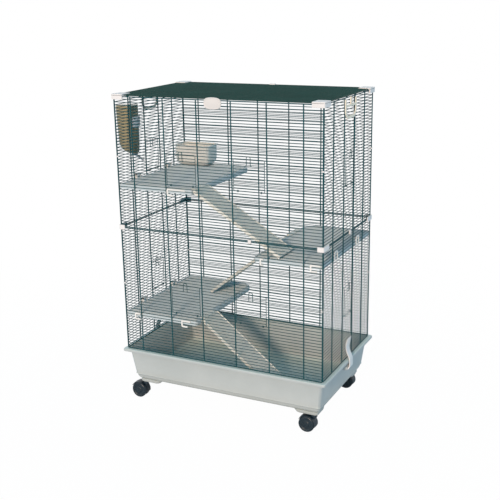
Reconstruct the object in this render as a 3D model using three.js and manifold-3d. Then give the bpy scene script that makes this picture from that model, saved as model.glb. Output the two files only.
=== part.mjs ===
// Two-storey ferret cage on castors: a moulded tray carries two storeys of welded wire nets,
// with shelves, ramps, a hanging tub and a drinking bottle. Units are millimetres, +Z is up,
// X runs along the long front side and Y runs from the front (-Y) to the back.
import * as THREE from 'three';
import { mergeVertices } from 'three/addons/utils/BufferGeometryUtils.js';
import Module from 'manifold-3d';

const wasm = await Module();
wasm.setup();

// ---------------------------------------------------------------- driving dimensions
const TOUCH_GAP = 0.3;              // daylight left between parts that touch
const RUNNING_GAP = 0.35;           // radial play of a pin in its eye

// wire box
const CAGE_WIDTH = 795;             // outside of the wires along the front
const CAGE_DEPTH = 482;             // outside of the wires, front to back
const STOREY_HEIGHT = 476;          // one storey of net
const NET_THICKNESS = 2.6;          // depth of a net, front to back
const WIRE_BAR = 2.6;               // width of an ordinary wire
const EDGE_BAR = 4.2;               // width of the doubled wire round a net
const FRONT_UPRIGHTS = 6;           // upright wires between the corners of a long net
const FRONT_UPRIGHT_PITCH = 131;
const SIDE_UPRIGHTS = 4;            // the same on a short net
const SIDE_UPRIGHT_PITCH = 100.6;
const ROWS_BELOW_DOOR = 2;          // cross wires kept in each stretch of a net
const ROWS_BESIDE_DOOR = 1;
const ROWS_ABOVE_DOOR = 2;
const ROOF_ROWS = 5;

// doors
const DOOR_SILL = 173;              // from a storey's foot to the wire that a door hinges on
const DOOR_OPENING_HEIGHT = 108;
const DOOR_SIDE_PLAY = 5;           // between a door's side and the upright beside it
const DOOR_OVERLAP = 4;             // how far a door reaches over the wire above its opening
const DOOR_STANDOFF = 0.6;          // between the face of the net and the shut door
const DOOR_ROWS = 3;
const DOOR_EYE_WIDTH = 4;
const DOOR_EYE_INSET = 14;
const LATCH_WIDTH = 17;             // wire loop over the top of a door
const LATCH_WIRE = 2.4;
const LATCH_RISE = 9;
const LATCH_TAIL = 22;

// roof net and its corner caps
const ROOF_REST = 1.5;              // between the walls and the roof net, so that its rear wire can turn
const CAP_ALONG_FRONT = 45;
const CAP_ALONG_SIDE = 53;
const CAP_HEIGHT = 19;
const CAP_WALL = 5;
const CAP_LID = 3;
const CAP_CORNER = 4;

// tray
const TRAY_HEIGHT = 133;
const RIM_REACH = 14;               // rim beyond the wires
const RIM_HEIGHT = 10;
const RIM_CORNER = 9;
const WALL_INSET = 18;              // outer face of the wall, in from the rim's edge
const WALL_TAPER = 16;
const TRAY_WALL = 3;
const TRAY_CORNER = 14;
const FOOT_BEND = 20;               // round between the wall and the floor
const BAND_STEP = 1.4;              // raised band that runs round the foot of the wall
const BAND_HEIGHT = 26;
const PAD_WIDTH = 82;
const PAD_DEPTH = 66;
const PAD_CORNER = 12;
const PAD_DROP = 11;
const PAD_SLOPE = 12;

// castors
const WHEEL_RADIUS = 30;
const WHEEL_WIDTH = 12;
const WHEEL_BORE = 3.4;
const AXLE_RADIUS = 3;
const HOOD_WALL = 2.5;
const HOOD_CLEARANCE = 1.6;
const WEB_THICKNESS = 10;
const CASTOR_TRAIL = 25;
const CASTOR_INSET_X = 47;          // swivel axis, in from the wire box
const CASTOR_INSET_Y = 42;
const STEM_RADIUS = 5;
const STEM_LENGTH = 8;
const COLLAR_RADIUS = 12;
const COLLAR_RISE = 4;              // collar above the hood
const STEM_SOCKET_PLAY = 0.5;

// clamps that hold the wire box on the tray
const CLAMP_WIDTH = 42;
const CLAMP_THICKNESS = 3.2;
const CLAMP_PIVOT_DROP = 30;        // pivot below the top of the rim
const CLAMP_PIVOT_INSET = 9;        // pivot in from the rim's edge
const CLAMP_BARREL = 5;
const CLAMP_PIN = 2.6;
const CLAMP_REACH = 81;             // finger tab above the rim
const CLAMP_CURL = 12;              // finger tab out from the net
const EAR_THICKNESS = 4;
const EAR_RADIUS = 7;

// roof bails
const BAIL_WIDTH = 110;
const BAIL_FOOT_WIDTH = 74;
const BAIL_HEIGHT = 67;
const BAIL_BAR = 10;
const BAIL_SHOULDER = 16;           // from the foot to the straight arms
const BAIL_THICKNESS = 4;
const BAIL_DROP = 74;               // foot of a bail below the top of the walls
const BAIL_CROSSBAR = 42;           // crossbar above the foot
const BAIL_FINGER = 5;

// clips and plate
const MID_CLIP_ALONG_FRONT = 24;
const MID_CLIP_ALONG_SIDE = 49;
const MID_CLIP_HEIGHT = 18;
const MID_CLIP_WALL = 4;
const JOINT_CLIP_WIDTH = 12;
const JOINT_CLIP_HEIGHT = 15;
const JOINT_CLIP_DEPTH = 5;
const JOINT_CLIP_FRONT_X = 129.5;
const JOINT_CLIP_SIDE_Y = 9;
const PLATE_WIDTH = 66;
const PLATE_HEIGHT = 40;
const PLATE_THICKNESS = 4;
const PLATE_LIP = 8;                // how far the plate stands above the walls
const PLATE_SQUARENESS = 0.7;       // 1 is an ellipse, and less is squarer
const HINGE_CLIP_WIDTH = 22;

// shelves
const SHELF_PLATE = 3;
const SHELF_SKIRT = 16;
const SHELF_SKIRT_WALL = 2.5;
const SHELF_CORNER = 55;
const SHELF_RIBS = 9;
const SHELF_RIB_HEIGHT = 1.2;
const SHELF_RIB_WIDTH = 3;
const SHELF_GAP = 0.9;              // between a shelf and the nets round it
const HOOK_WIDTH = 36;
const HOOK_HEIGHT = 30;
const HOOK_DROP = 12;               // how far a hook reaches below the skirt
const HOOK_BAR = 7;
const HOOK_FROM_WALL = 28;
const HOOK_FROM_NOSE = 24;
const HIGH_SHELF = { top: 635, width: 302 };
const MIDDLE_SHELF = { top: 421, width: 255 };
const LOW_SHELF = { top: 148, width: 302 };

// ramps
const RAMP_WIDTH = 108;
const RAMP_PLATE = 3;
const RAMP_EDGE = 9;
const RAMP_EDGE_WALL = 3;
const RAMP_TREADS = 12;
const RAMP_TREAD_HEIGHT = 1.6;
const RAMP_TREAD_WIDTH = 4;
const RAMP_TONGUE = 12;             // reach of a ramp's tongue over its shelf
const HIGH_RAMP = { run: 327, y: 58 };      // y from the front of the wire box
const MIDDLE_RAMP = { run: 330, y: 354 };
const LOW_RAMP = { run: 335, y: 90 };

// tub
const TUB_WIDTH = 158;
const TUB_DEPTH = 96;
const TUB_HEIGHT = 83;
const TUB_WALL = 2.5;
const TUB_RIM = 5;
const TUB_BEND = 30;
const TUB_CORNER = 15;

// drinking bottle, outside the left net
const BOTTLE_WIDTH = 76;
const BOTTLE_DEPTH = 74;
const BOTTLE_TOP = 903;             // above the foot of the wire box
const BOTTLE_HEIGHT = 178;
const BOTTLE_FOOT = 46;             // height of the rounded foot
const BOTTLE_Y = 145;               // behind the front of the wire box
const BOTTLE_GAP = 4;               // between the bottle and the net
const BOTTLE_CAP_RADIUS = 11;
const BOTTLE_CAP_HEIGHT = 9;
const SPOUT_RADIUS = 4;
const SPOUT_LENGTH = 40;
const SPOUT_SLOPE = 28;             // degrees below the level
const HOLDER_DROP = 42;             // holder below the bottle's top
const HOLDER_HEIGHT = 38;
const HOLDER_WIDTH = 40;

// ---------------------------------------------------------------- derived places
const castorHeight = 2 * WHEEL_RADIUS + HOOD_CLEARANCE + HOOD_WALL + COLLAR_RISE + 2 * TOUCH_GAP;
const padFoot = castorHeight;
const trayFoot = padFoot + PAD_DROP;
const rimTop = trayFoot + TRAY_HEIGHT;
const wireFoot = rimTop + TOUCH_GAP;
const netHeight = STOREY_HEIGHT - TOUCH_GAP;
const wallTop = wireFoot + 2 * STOREY_HEIGHT - TOUCH_GAP;
const roofFoot = wallTop + ROOF_REST;
const roofTop = roofFoot + NET_THICKNESS;
const halfWidth = CAGE_WIDTH / 2;
const halfDepth = CAGE_DEPTH / 2;
const innerX = halfWidth - NET_THICKNESS;
const innerY = halfDepth - NET_THICKNESS;
const sideNetDepth = 2 * (innerY - TOUCH_GAP);
const rimX = halfWidth + RIM_REACH;
const rimY = halfDepth + RIM_REACH;
const doorHeight = DOOR_OPENING_HEIGHT + DOOR_OVERLAP;
const doorOffset = NET_THICKNESS / 2 + DOOR_STANDOFF;
const frontDoorWidth = FRONT_UPRIGHT_PITCH - WIRE_BAR - 2 * DOOR_SIDE_PLAY;
const sideDoorWidth = SIDE_UPRIGHT_PITCH - WIRE_BAR - 2 * DOOR_SIDE_PLAY;

// ---------------------------------------------------------------- finishes
const wireGreen = new THREE.MeshStandardMaterial({ color: 0x1f3f3a, roughness: 0.35, metalness: 0.3 });
const trayGrey = new THREE.MeshStandardMaterial({ color: 0xc4c3bd, roughness: 0.55 });
const clipBeige = new THREE.MeshStandardMaterial({ color: 0xe6dcd2, roughness: 0.5 });
const shelfBeige = new THREE.MeshStandardMaterial({ color: 0xc9c2b6, roughness: 0.6 });
const castorBlack = new THREE.MeshStandardMaterial({ color: 0x16222e, roughness: 0.45 });
const steel = new THREE.MeshStandardMaterial({ color: 0x8a929a, roughness: 0.3, metalness: 1 });
const bottleAmber = new THREE.MeshStandardMaterial({ color: 0x8a6f45, roughness: 0.3 });

// ---------------------------------------------------------------- solids, cuts and joins
function weld(geometry) {
  const bare = geometry.index ? geometry.toNonIndexed() : geometry.clone();
  for (const name of Object.keys(bare.attributes)) {
    if (name !== 'position') bare.deleteAttribute(name);
  }
  return mergeVertices(bare, 1e-4);
}

function toSolid(geometry) {
  const welded = weld(geometry);
  return new wasm.Manifold(new wasm.Mesh({
    numProp: 3,
    vertProperties: new Float32Array(welded.attributes.position.array),
    triVerts: new Uint32Array(welded.index.array),
  }));
}

function toGeometry(solid) {
  const mesh = solid.getMesh();
  const geometry = new THREE.BufferGeometry();
  geometry.setAttribute('position', new THREE.BufferAttribute(new Float32Array(mesh.vertProperties), 3));
  geometry.setIndex(new THREE.BufferAttribute(new Uint32Array(mesh.triVerts), 1));
  return geometry;
}

function joined(...geometries) {
  return toGeometry(geometries.map(toSolid).reduce((sum, next) => sum.add(next)));
}

function cutFrom(geometry, ...tools) {
  return toGeometry(tools.map(toSolid).reduce((rest, tool) => rest.subtract(tool), toSolid(geometry)));
}

const cage = new THREE.Group();

function place(name, geometry, material, x = 0, y = 0, z = 0) {
  const mesh = new THREE.Mesh(geometry, material);
  mesh.name = name;
  mesh.position.set(x, y, z);
  cage.add(mesh);
  return mesh;
}

// A box between two corners.
function block(x0, x1, y0, y1, z0, z1) {
  const box = new THREE.BoxGeometry(x1 - x0, y1 - y0, z1 - z0);
  return box.translate((x0 + x1) / 2, (y0 + y1) / 2, (z0 + z1) / 2);
}

// A flat shape in X-Z, given its thickness along Y and centred on Y = 0.
function plateXZ(shape, thickness, curveSegments = 8) {
  const plate = new THREE.ExtrudeGeometry(shape, { depth: thickness, bevelEnabled: false, curveSegments });
  return plate.translate(0, 0, -thickness / 2).rotateX(Math.PI / 2);
}

// A flat shape in X-Y with its foot on Z = 0.
function plateXY(shape, thickness, curveSegments = 8) {
  return new THREE.ExtrudeGeometry(shape, { depth: thickness, bevelEnabled: false, curveSegments });
}

function outline(points) {
  return new THREE.Shape(points.map(([x, y]) => new THREE.Vector2(x, y)));
}

// A rod along +Z from its foot.
function rod(radius, length, sides = 12) {
  return new THREE.CylinderGeometry(radius, radius, length, sides).rotateX(Math.PI / 2).translate(0, 0, length / 2);
}

// A mirror image in the plane X = 0, with its faces still outwards.
function mirrorX(geometry) {
  const mirrored = weld(geometry).scale(-1, 1, 1);
  const index = Array.from(mirrored.index.array);
  for (let i = 0; i < index.length; i += 3) [index[i], index[i + 1]] = [index[i + 1], index[i]];
  mirrored.setIndex(index);
  return mirrored;
}

// One level of a lofted shell: a rectangle with round corners, corner by corner.
function roundRing(halfX, halfY, radius, z, steps = 4) {
  const ring = [];
  const corners = [[1, -1], [1, 1], [-1, 1], [-1, -1]];
  corners.forEach(([sx, sy], k) => {
    for (let i = 0; i <= steps; i++) {
      const angle = (k - 1) * Math.PI / 2 + (i / steps) * Math.PI / 2;
      ring.push(new THREE.Vector3(
        sx * (halfX - radius) + radius * Math.cos(angle),
        sy * (halfY - radius) + radius * Math.sin(angle), z));
    }
  });
  return ring;
}

// Skins a pile of rings of equal counts, and closes the first and the last one.
function loft(rings) {
  const count = rings[0].length;
  const positions = rings.flat().flatMap((p) => [p.x, p.y, p.z]);
  const index = [];
  for (let level = 0; level < rings.length - 1; level++) {
    for (let i = 0; i < count; i++) {
      const a = level * count + i;
      const b = level * count + (i + 1) % count;
      index.push(a, b, b + count, a, b + count, a + count);
    }
  }
  const last = (rings.length - 1) * count;
  for (let i = 1; i < count - 1; i++) {
    index.push(0, i + 1, i, last, last + i, last + i + 1);
  }
  const geometry = new THREE.BufferGeometry();
  geometry.setAttribute('position', new THREE.Float32BufferAttribute(positions, 3));
  geometry.setIndex(index);
  return geometry;
}

// ---------------------------------------------------------------- nets
function spread(count, pitch) {
  return Array.from({ length: count }, (_, i) => (i - (count - 1) / 2) * pitch);
}

function evenSteps(from, to, steps) {
  return Array.from({ length: steps }, (_, i) => from + (to - from) * (i + 1) / steps);
}

// Heights of the cross wires of one storey, from its foot.
function storeyRows() {
  const lintel = DOOR_SILL + DOOR_OPENING_HEIGHT;
  return [
    ...evenSteps(0, DOOR_SILL, ROWS_BELOW_DOOR),
    ...evenSteps(DOOR_SILL, lintel, ROWS_BESIDE_DOOR),
    ...evenSteps(lintel, netHeight, ROWS_ABOVE_DOOR).slice(0, -1),
  ];
}

// Lines of a net across its wires: both faces of the edge wires and of every wire between them.
function wireLines(from, to, wires, edge) {
  const between = wires.flatMap((w) => [w - WIRE_BAR / 2, w + WIRE_BAR / 2]);
  return [from, from + edge, ...between, to - edge, to];
}

// A flat lattice standing in X-Z, centred on Y = 0. Cells with two odd numbers are windows, and
// isOpen can leave out wires as well.
function lattice(xLines, zLines, isOpen = () => false) {
  const positions = [];
  const [near, far] = [-NET_THICKNESS / 2, NET_THICKNESS / 2];
  const quad = (a, b, c, d) => positions.push(...a, ...b, ...c, ...a, ...c, ...d);
  const solid = (i, j) => i >= 0 && j >= 0 && i < xLines.length - 1 && j < zLines.length - 1
    && !(i % 2 && j % 2) && !isOpen(i, j);
  for (let i = 0; i < xLines.length - 1; i++) {
    for (let j = 0; j < zLines.length - 1; j++) {
      if (!solid(i, j)) continue;
      const [x0, x1, z0, z1] = [xLines[i], xLines[i + 1], zLines[j], zLines[j + 1]];
      quad([x0, near, z0], [x1, near, z0], [x1, near, z1], [x0, near, z1]);
      quad([x1, far, z0], [x0, far, z0], [x0, far, z1], [x1, far, z1]);
      if (!solid(i - 1, j)) quad([x0, far, z0], [x0, near, z0], [x0, near, z1], [x0, far, z1]);
      if (!solid(i + 1, j)) quad([x1, near, z0], [x1, far, z0], [x1, far, z1], [x1, near, z1]);
      if (!solid(i, j - 1)) quad([x0, far, z0], [x1, far, z0], [x1, near, z0], [x0, near, z0]);
      if (!solid(i, j + 1)) quad([x0, near, z1], [x1, near, z1], [x1, far, z1], [x0, far, z1]);
    }
  }
  const geometry = new THREE.BufferGeometry();
  geometry.setAttribute('position', new THREE.Float32BufferAttribute(positions, 3));
  return geometry;
}

// One storey of a wall net, with a tall window in each door column.
function wallNet(width, uprights, doorColumns) {
  const xLines = wireLines(-width / 2, width / 2, uprights, EDGE_BAR);
  const zLines = wireLines(0, netHeight, storeyRows(), EDGE_BAR);
  const firstRow = 2 * ROWS_BELOW_DOOR + 1;
  const lastRow = 2 * (ROWS_BELOW_DOOR + ROWS_BESIDE_DOOR) - 1;
  return lattice(xLines, zLines,
    (i, j) => doorColumns.includes((i - 1) / 2) && j >= firstRow && j <= lastRow);
}

// The roof net lies in X-Y; its corners are cut back round the caps and framed with edge wire.
function roofNet() {
  const rows = evenSteps(-halfDepth, halfDepth, ROOF_ROWS).slice(0, -1);
  const net = lattice(
    wireLines(-halfWidth, halfWidth, spread(FRONT_UPRIGHTS, FRONT_UPRIGHT_PITCH), EDGE_BAR),
    wireLines(-halfDepth, halfDepth, rows, EDGE_BAR),
  ).rotateX(-Math.PI / 2).translate(0, 0, NET_THICKNESS / 2);
  const cutX = halfWidth + CAP_WALL - CAP_ALONG_FRONT - TOUCH_GAP;
  const cutY = halfDepth + CAP_WALL - CAP_ALONG_SIDE - TOUCH_GAP;
  const atCorners = (x0, x1, y0, y1, z0, z1) => [-1, 1].flatMap((sx) => [-1, 1].map((sy) => block(
    Math.min(sx * x0, sx * x1), Math.max(sx * x0, sx * x1),
    Math.min(sy * y0, sy * y1), Math.max(sy * y0, sy * y1), z0, z1)));
  const frames = atCorners(cutX - EDGE_BAR, halfWidth, cutY - EDGE_BAR, halfDepth, 0, NET_THICKNESS);
  const notches = atCorners(cutX, halfWidth + 1, cutY, halfDepth + 1, -1, NET_THICKNESS + 1);
  return cutFrom(joined(net, ...frames), ...notches);
}

const frontUprights = spread(FRONT_UPRIGHTS, FRONT_UPRIGHT_PITCH);
const sideUprights = spread(SIDE_UPRIGHTS, SIDE_UPRIGHT_PITCH);
const frontDoorColumns = [2, 4];
const sideDoorColumns = [2];
const storeys = [['lower', wireFoot], ['upper', wireFoot + STOREY_HEIGHT]];

for (const [storey, foot] of storeys) {
  const netY = halfDepth - NET_THICKNESS / 2;
  const netX = halfWidth - NET_THICKNESS / 2;
  place(`front_net_${storey}`, wallNet(CAGE_WIDTH, frontUprights, frontDoorColumns), wireGreen, 0, -netY, foot);
  place(`back_net_${storey}`, wallNet(CAGE_WIDTH, frontUprights, []), wireGreen, 0, netY, foot);
  for (const [side, sign] of [['left', -1], ['right', 1]]) {
    const net = wallNet(sideNetDepth, sideUprights, sideDoorColumns).rotateZ(Math.PI / 2);
    place(`${side}_net_${storey}`, net, wireGreen, sign * netX, 0, foot);
  }
}
place('roof_net', roofNet(), wireGreen, 0, 0, roofFoot);

// ---------------------------------------------------------------- doors
// A door seen from outside, on its hinge wire: X along the sill, Z up, -Y outwards.
function doorGeometry(width) {
  const half = width / 2;
  const foot = -WIRE_BAR / 2;
  const wires = evenSteps(foot, doorHeight, DOOR_ROWS).slice(0, -1);
  const net = lattice(wireLines(-half, half, [], WIRE_BAR), wireLines(foot, doorHeight, wires, WIRE_BAR))
    .translate(0, -doorOffset - NET_THICKNESS / 2, 0);

  const loop = new THREE.Shape();
  const outer = LATCH_WIDTH / 2;
  const inner = outer - LATCH_WIRE;
  const crown = doorHeight + LATCH_RISE - outer;
  loop.moveTo(-outer, doorHeight - LATCH_TAIL);
  loop.lineTo(-inner, doorHeight - LATCH_TAIL);
  loop.lineTo(-inner, crown);
  loop.absarc(0, crown, inner, Math.PI, 0, true);
  loop.lineTo(inner, doorHeight - LATCH_TAIL);
  loop.lineTo(outer, doorHeight - LATCH_TAIL);
  loop.lineTo(outer, crown);
  loop.absarc(0, crown, outer, 0, Math.PI, false);
  const latchFace = doorOffset + NET_THICKNESS - TOUCH_GAP;
  const latch = plateXZ(loop, LATCH_WIRE, 3).translate(0, -latchFace - LATCH_WIRE / 2, 0);

  const eyeInner = Math.hypot(NET_THICKNESS, WIRE_BAR) / 2 + RUNNING_GAP;
  const eyeOuter = doorOffset + NET_THICKNESS - 0.5;
  const eyes = [-1, 1].map((sign) => {
    const ring = new THREE.Shape();
    ring.absarc(0, 0, eyeOuter, 0, 2 * Math.PI, false);
    const hole = new THREE.Path();
    hole.absarc(0, 0, eyeInner / Math.cos(Math.PI / 8), 0, 2 * Math.PI, true);
    ring.holes.push(hole);
    const eye = new THREE.ExtrudeGeometry(ring, { depth: DOOR_EYE_WIDTH, bevelEnabled: false, curveSegments: 4 });
    eye.translate(0, 0, -DOOR_EYE_WIDTH / 2).rotateY(Math.PI / 2);
    return eye.translate(sign * (half - DOOR_EYE_INSET), 0, 0);
  });
  return joined(net, latch, ...eyes);
}

const hingeY = halfDepth - NET_THICKNESS / 2;
const hingeX = halfWidth - NET_THICKNESS / 2;
for (const [storey, foot] of storeys) {
  const hingeZ = foot + DOOR_SILL;
  for (const [side, column] of [['left', frontDoorColumns[0]], ['right', frontDoorColumns[1]]]) {
    const middle = (frontUprights[column - 1] + frontUprights[column]) / 2;
    place(`front_door_${storey}_${side}`, doorGeometry(frontDoorWidth), wireGreen, middle, -hingeY, hingeZ);
  }
  place(`right_door_${storey}`, doorGeometry(sideDoorWidth).rotateZ(Math.PI / 2), wireGreen, hingeX, 0, hingeZ);
  place(`left_door_${storey}`, doorGeometry(sideDoorWidth).rotateZ(-Math.PI / 2), wireGreen, -hingeX, 0, hingeZ);
}

// ---------------------------------------------------------------- tray
function trayGeometry() {
  const ring = (inset, z, radius) => roundRing(rimX - inset, rimY - inset, radius, z, 3);
  const bandInset = WALL_INSET + WALL_TAPER * (1 - BAND_HEIGHT / TRAY_HEIGHT);
  const bendInset = WALL_INSET + WALL_TAPER;
  const bend = (share, skin) => {
    const angle = share * Math.PI / 2;
    const radius = FOOT_BEND - skin;
    return [bendInset + skin + radius * (1 - Math.sin(angle)), trayFoot + skin + radius * (1 - Math.cos(angle))];
  };
  const rings = [];
  for (const share of [0, 1 / 3, 2 / 3, 1]) {
    const [inset, z] = bend(share, 0);
    rings.push(ring(inset, z, TRAY_CORNER));
  }
  rings.push(ring(bandInset - BAND_STEP, trayFoot + BAND_HEIGHT, TRAY_CORNER));
  rings.push(ring(bandInset, trayFoot + BAND_HEIGHT + BAND_STEP, TRAY_CORNER));
  rings.push(ring(WALL_INSET, rimTop - RIM_HEIGHT + 2, TRAY_CORNER));
  rings.push(ring(1.5, rimTop - RIM_HEIGHT, RIM_CORNER));
  rings.push(ring(0, rimTop - RIM_HEIGHT + 1.5, RIM_CORNER));
  rings.push(ring(0, rimTop - 1.5, RIM_CORNER));
  rings.push(ring(1.5, rimTop, RIM_CORNER));
  rings.push(ring(WALL_INSET + TRAY_WALL - 1, rimTop, TRAY_CORNER - TRAY_WALL));
  rings.push(ring(WALL_INSET + TRAY_WALL, rimTop - 2, TRAY_CORNER - TRAY_WALL));
  for (const share of [1, 1 / 2, 0]) {
    const [inset, z] = bend(share, TRAY_WALL);
    rings.push(ring(inset, z, TRAY_CORNER - TRAY_WALL));
  }
  return loft(rings);
}

// A foot pad under one corner of the tray, sloped off on its two inner sides.
function padGeometry(signX, signY) {
  const outerX = rimX - WALL_INSET - WALL_TAPER - FOOT_BEND / 2;
  const outerY = rimY - WALL_INSET - WALL_TAPER - FOOT_BEND / 2;
  const level = (slope, z) => {
    const halfX = (PAD_WIDTH + slope) / 2;
    const halfY = (PAD_DEPTH + slope) / 2;
    return roundRing(halfX, halfY, PAD_CORNER, z, 3)
      .map((p) => p.add(new THREE.Vector3(signX * (outerX - halfX), signY * (outerY - halfY), 0)));
  };
  return loft([level(0, padFoot), level(PAD_SLOPE, trayFoot + 1)]);
}

const castorSpots = [];
for (const [front, signY] of [['front', -1], ['back', 1]]) {
  for (const [side, signX] of [['left', -1], ['right', 1]]) {
    castorSpots.push({
      name: `${front}_${side}`, signX, signY,
      x: signX * (halfWidth - CASTOR_INSET_X), y: signY * (halfDepth - CASTOR_INSET_Y),
    });
  }
}

const clampPivotZ = rimTop - CLAMP_PIVOT_DROP;
const clampPivotX = rimX - CLAMP_PIVOT_INSET;

// An ear on the tray's end wall, with a hole for one clamp pin.
function earGeometry(signX, signY) {
  const wallX = rimX - WALL_INSET - WALL_TAPER * (CLAMP_PIVOT_DROP / TRAY_HEIGHT) - 1.5;
  const ear = new THREE.Shape();
  ear.moveTo(wallX, clampPivotZ - EAR_RADIUS);
  ear.lineTo(clampPivotX, clampPivotZ - EAR_RADIUS);
  ear.absarc(clampPivotX, clampPivotZ, EAR_RADIUS, -Math.PI / 2, Math.PI / 2, false);
  ear.lineTo(wallX, clampPivotZ + EAR_RADIUS);
  const hole = new THREE.Path();
  hole.absarc(clampPivotX, clampPivotZ, CLAMP_PIN + RUNNING_GAP, 0, 2 * Math.PI, true);
  ear.holes.push(hole);
  const plate = plateXZ(ear, EAR_THICKNESS, 4);
  if (signX < 0) plate.rotateZ(Math.PI);
  return plate.translate(0, signY * (CLAMP_WIDTH / 2 + TOUCH_GAP + EAR_THICKNESS / 2), 0);
}

const pads = castorSpots.map(({ signX, signY }) => padGeometry(signX, signY));
const ears = [-1, 1].flatMap((signX) => [-1, 1].map((signY) => earGeometry(signX, signY)));
const sockets = castorSpots.map(({ x, y }) => rod(STEM_RADIUS + STEM_SOCKET_PLAY, STEM_LENGTH + 2, 16)
  .translate(x, y, padFoot - 1));
place('tray', cutFrom(joined(trayGeometry(), ...pads, ...ears), ...sockets), trayGrey);

// ---------------------------------------------------------------- castors
// The hood, web and stem, with the swivel axis on X = 0, Y = 0 and the wheels trailing to -X.
function castorFork() {
  const inner = WHEEL_RADIUS + HOOD_CLEARANCE;
  const outer = inner + HOOD_WALL;
  const hoodWidth = WEB_THICKNESS + 2 * (WHEEL_WIDTH + TOUCH_GAP);
  const hood = new THREE.Shape();
  const [open, shut] = [THREE.MathUtils.degToRad(-12), THREE.MathUtils.degToRad(150)];
  hood.absarc(-CASTOR_TRAIL, WHEEL_RADIUS, outer, open, shut, false);
  hood.absarc(-CASTOR_TRAIL, WHEEL_RADIUS, inner, shut, open, true);
  const web = new THREE.Shape();
  web.absarc(-CASTOR_TRAIL, WHEEL_RADIUS, inner + 1, open, shut, false);
  web.absarc(-CASTOR_TRAIL, WHEEL_RADIUS, 9, Math.PI, 2 * Math.PI + open, false);
  const well = rod(inner + HOOD_WALL / 2, hoodWidth + 2, 32).rotateX(Math.PI / 2)
    .translate(-CASTOR_TRAIL, hoodWidth / 2 + 1, WHEEL_RADIUS);
  const collarFoot = WHEEL_RADIUS + Math.sqrt(inner ** 2 - CASTOR_TRAIL ** 2);
  const collar = cutFrom(rod(COLLAR_RADIUS, padFoot - TOUCH_GAP - collarFoot, 16)
    .translate(0, 0, collarFoot), well);
  const stem = rod(STEM_RADIUS, STEM_LENGTH, 16).translate(0, 0, padFoot - TOUCH_GAP - 0.5);
  const shell = plateXZ(hood, hoodWidth, 6);
  const bore = rod(AXLE_RADIUS + TOUCH_GAP, WEB_THICKNESS + 4, 12).rotateX(Math.PI / 2)
    .translate(-CASTOR_TRAIL, WEB_THICKNESS / 2 + 2, WHEEL_RADIUS);
  return cutFrom(joined(shell, plateXZ(web, WEB_THICKNESS, 6), collar, stem), bore);
}

// One of the two wheels: a dished disc with a raised hub, its axis along Y, outer face to -Y.
function castorWheel() {
  const w = WHEEL_WIDTH;
  const r = WHEEL_RADIUS / Math.cos(Math.PI / 16);
  const profile = [[WHEEL_BORE, 1], [WHEEL_BORE, w - 1], [19, w - 2.5], [21, w], [r - 2.5, w], [r, w - 3],
    [r, 2], [r - 2, 0.5], [WHEEL_BORE, 1]];
  const points = profile.reverse().map(([x, y]) => new THREE.Vector2(x, y));
  return new THREE.LatheGeometry(points, 16).rotateY(Math.PI / 16).rotateX(Math.PI);
}

for (const { name, x, y } of castorSpots) {
  place(`castor_fork_${name}`, castorFork(), castorBlack, x, y, 0);
  const axleLength = WEB_THICKNESS + 2 * WHEEL_WIDTH - 2;
  const axle = rod(AXLE_RADIUS, axleLength, 10).rotateX(Math.PI / 2).translate(0, axleLength / 2, 0);
  place(`castor_axle_${name}`, axle, steel, x - CASTOR_TRAIL, y, WHEEL_RADIUS);
  const wheelOffset = WEB_THICKNESS / 2 + TOUCH_GAP;
  place(`castor_wheel_${name}_a`, castorWheel(), castorBlack, x - CASTOR_TRAIL, y - wheelOffset, WHEEL_RADIUS);
  place(`castor_wheel_${name}_b`, castorWheel().rotateX(Math.PI), castorBlack,
    x - CASTOR_TRAIL, y + wheelOffset, WHEEL_RADIUS);
}

// ---------------------------------------------------------------- clamps between tray and net
// A sprung blade on a barrel: it leaves the barrel outwards, passes the rim, leans in to the net
// and ends in a finger tab.
function clampGeometry() {
  const path = new THREE.CatmullRomCurve3([
    [clampPivotX, -CLAMP_PIVOT_DROP], [rimX - 1, -CLAMP_PIVOT_DROP - 5], [rimX + 3, -CLAMP_PIVOT_DROP + 6],
    [rimX + 3, -8], [rimX + 2, 6], [halfWidth + 8, 0.27 * CLAMP_REACH], [halfWidth + 2.5, 0.47 * CLAMP_REACH],
    [halfWidth + 2.5, 0.67 * CLAMP_REACH], [halfWidth + CLAMP_CURL / 2, 0.86 * CLAMP_REACH],
    [halfWidth + CLAMP_CURL, CLAMP_REACH],
  ].map(([x, z]) => new THREE.Vector3(x, 0, rimTop + z)));
  const steps = 13;
  const near = [];
  const far = [];
  for (let i = 0; i <= steps; i++) {
    const at = path.getPoint(i / steps);
    const along = path.getTangent(i / steps);
    const offset = new THREE.Vector3(along.z, 0, -along.x).multiplyScalar(CLAMP_THICKNESS / 2);
    near.push([at.x + offset.x, at.z + offset.z]);
    far.push([at.x - offset.x, at.z - offset.z]);
  }
  const blade = plateXZ(outline([...near, ...far.reverse()]), CLAMP_WIDTH);
  const barrel = rod(CLAMP_BARREL, CLAMP_WIDTH, 12).rotateX(Math.PI / 2)
    .translate(clampPivotX, CLAMP_WIDTH / 2, clampPivotZ);
  const pinLength = CLAMP_WIDTH + 2 * (EAR_THICKNESS + TOUCH_GAP);
  const pin = rod(CLAMP_PIN, pinLength, 10).rotateX(Math.PI / 2)
    .translate(clampPivotX, pinLength / 2, clampPivotZ);
  return joined(blade, barrel, pin);
}
place('tray_clamp_right', clampGeometry(), clipBeige);
place('tray_clamp_left', clampGeometry().rotateZ(Math.PI), clipBeige);

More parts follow.
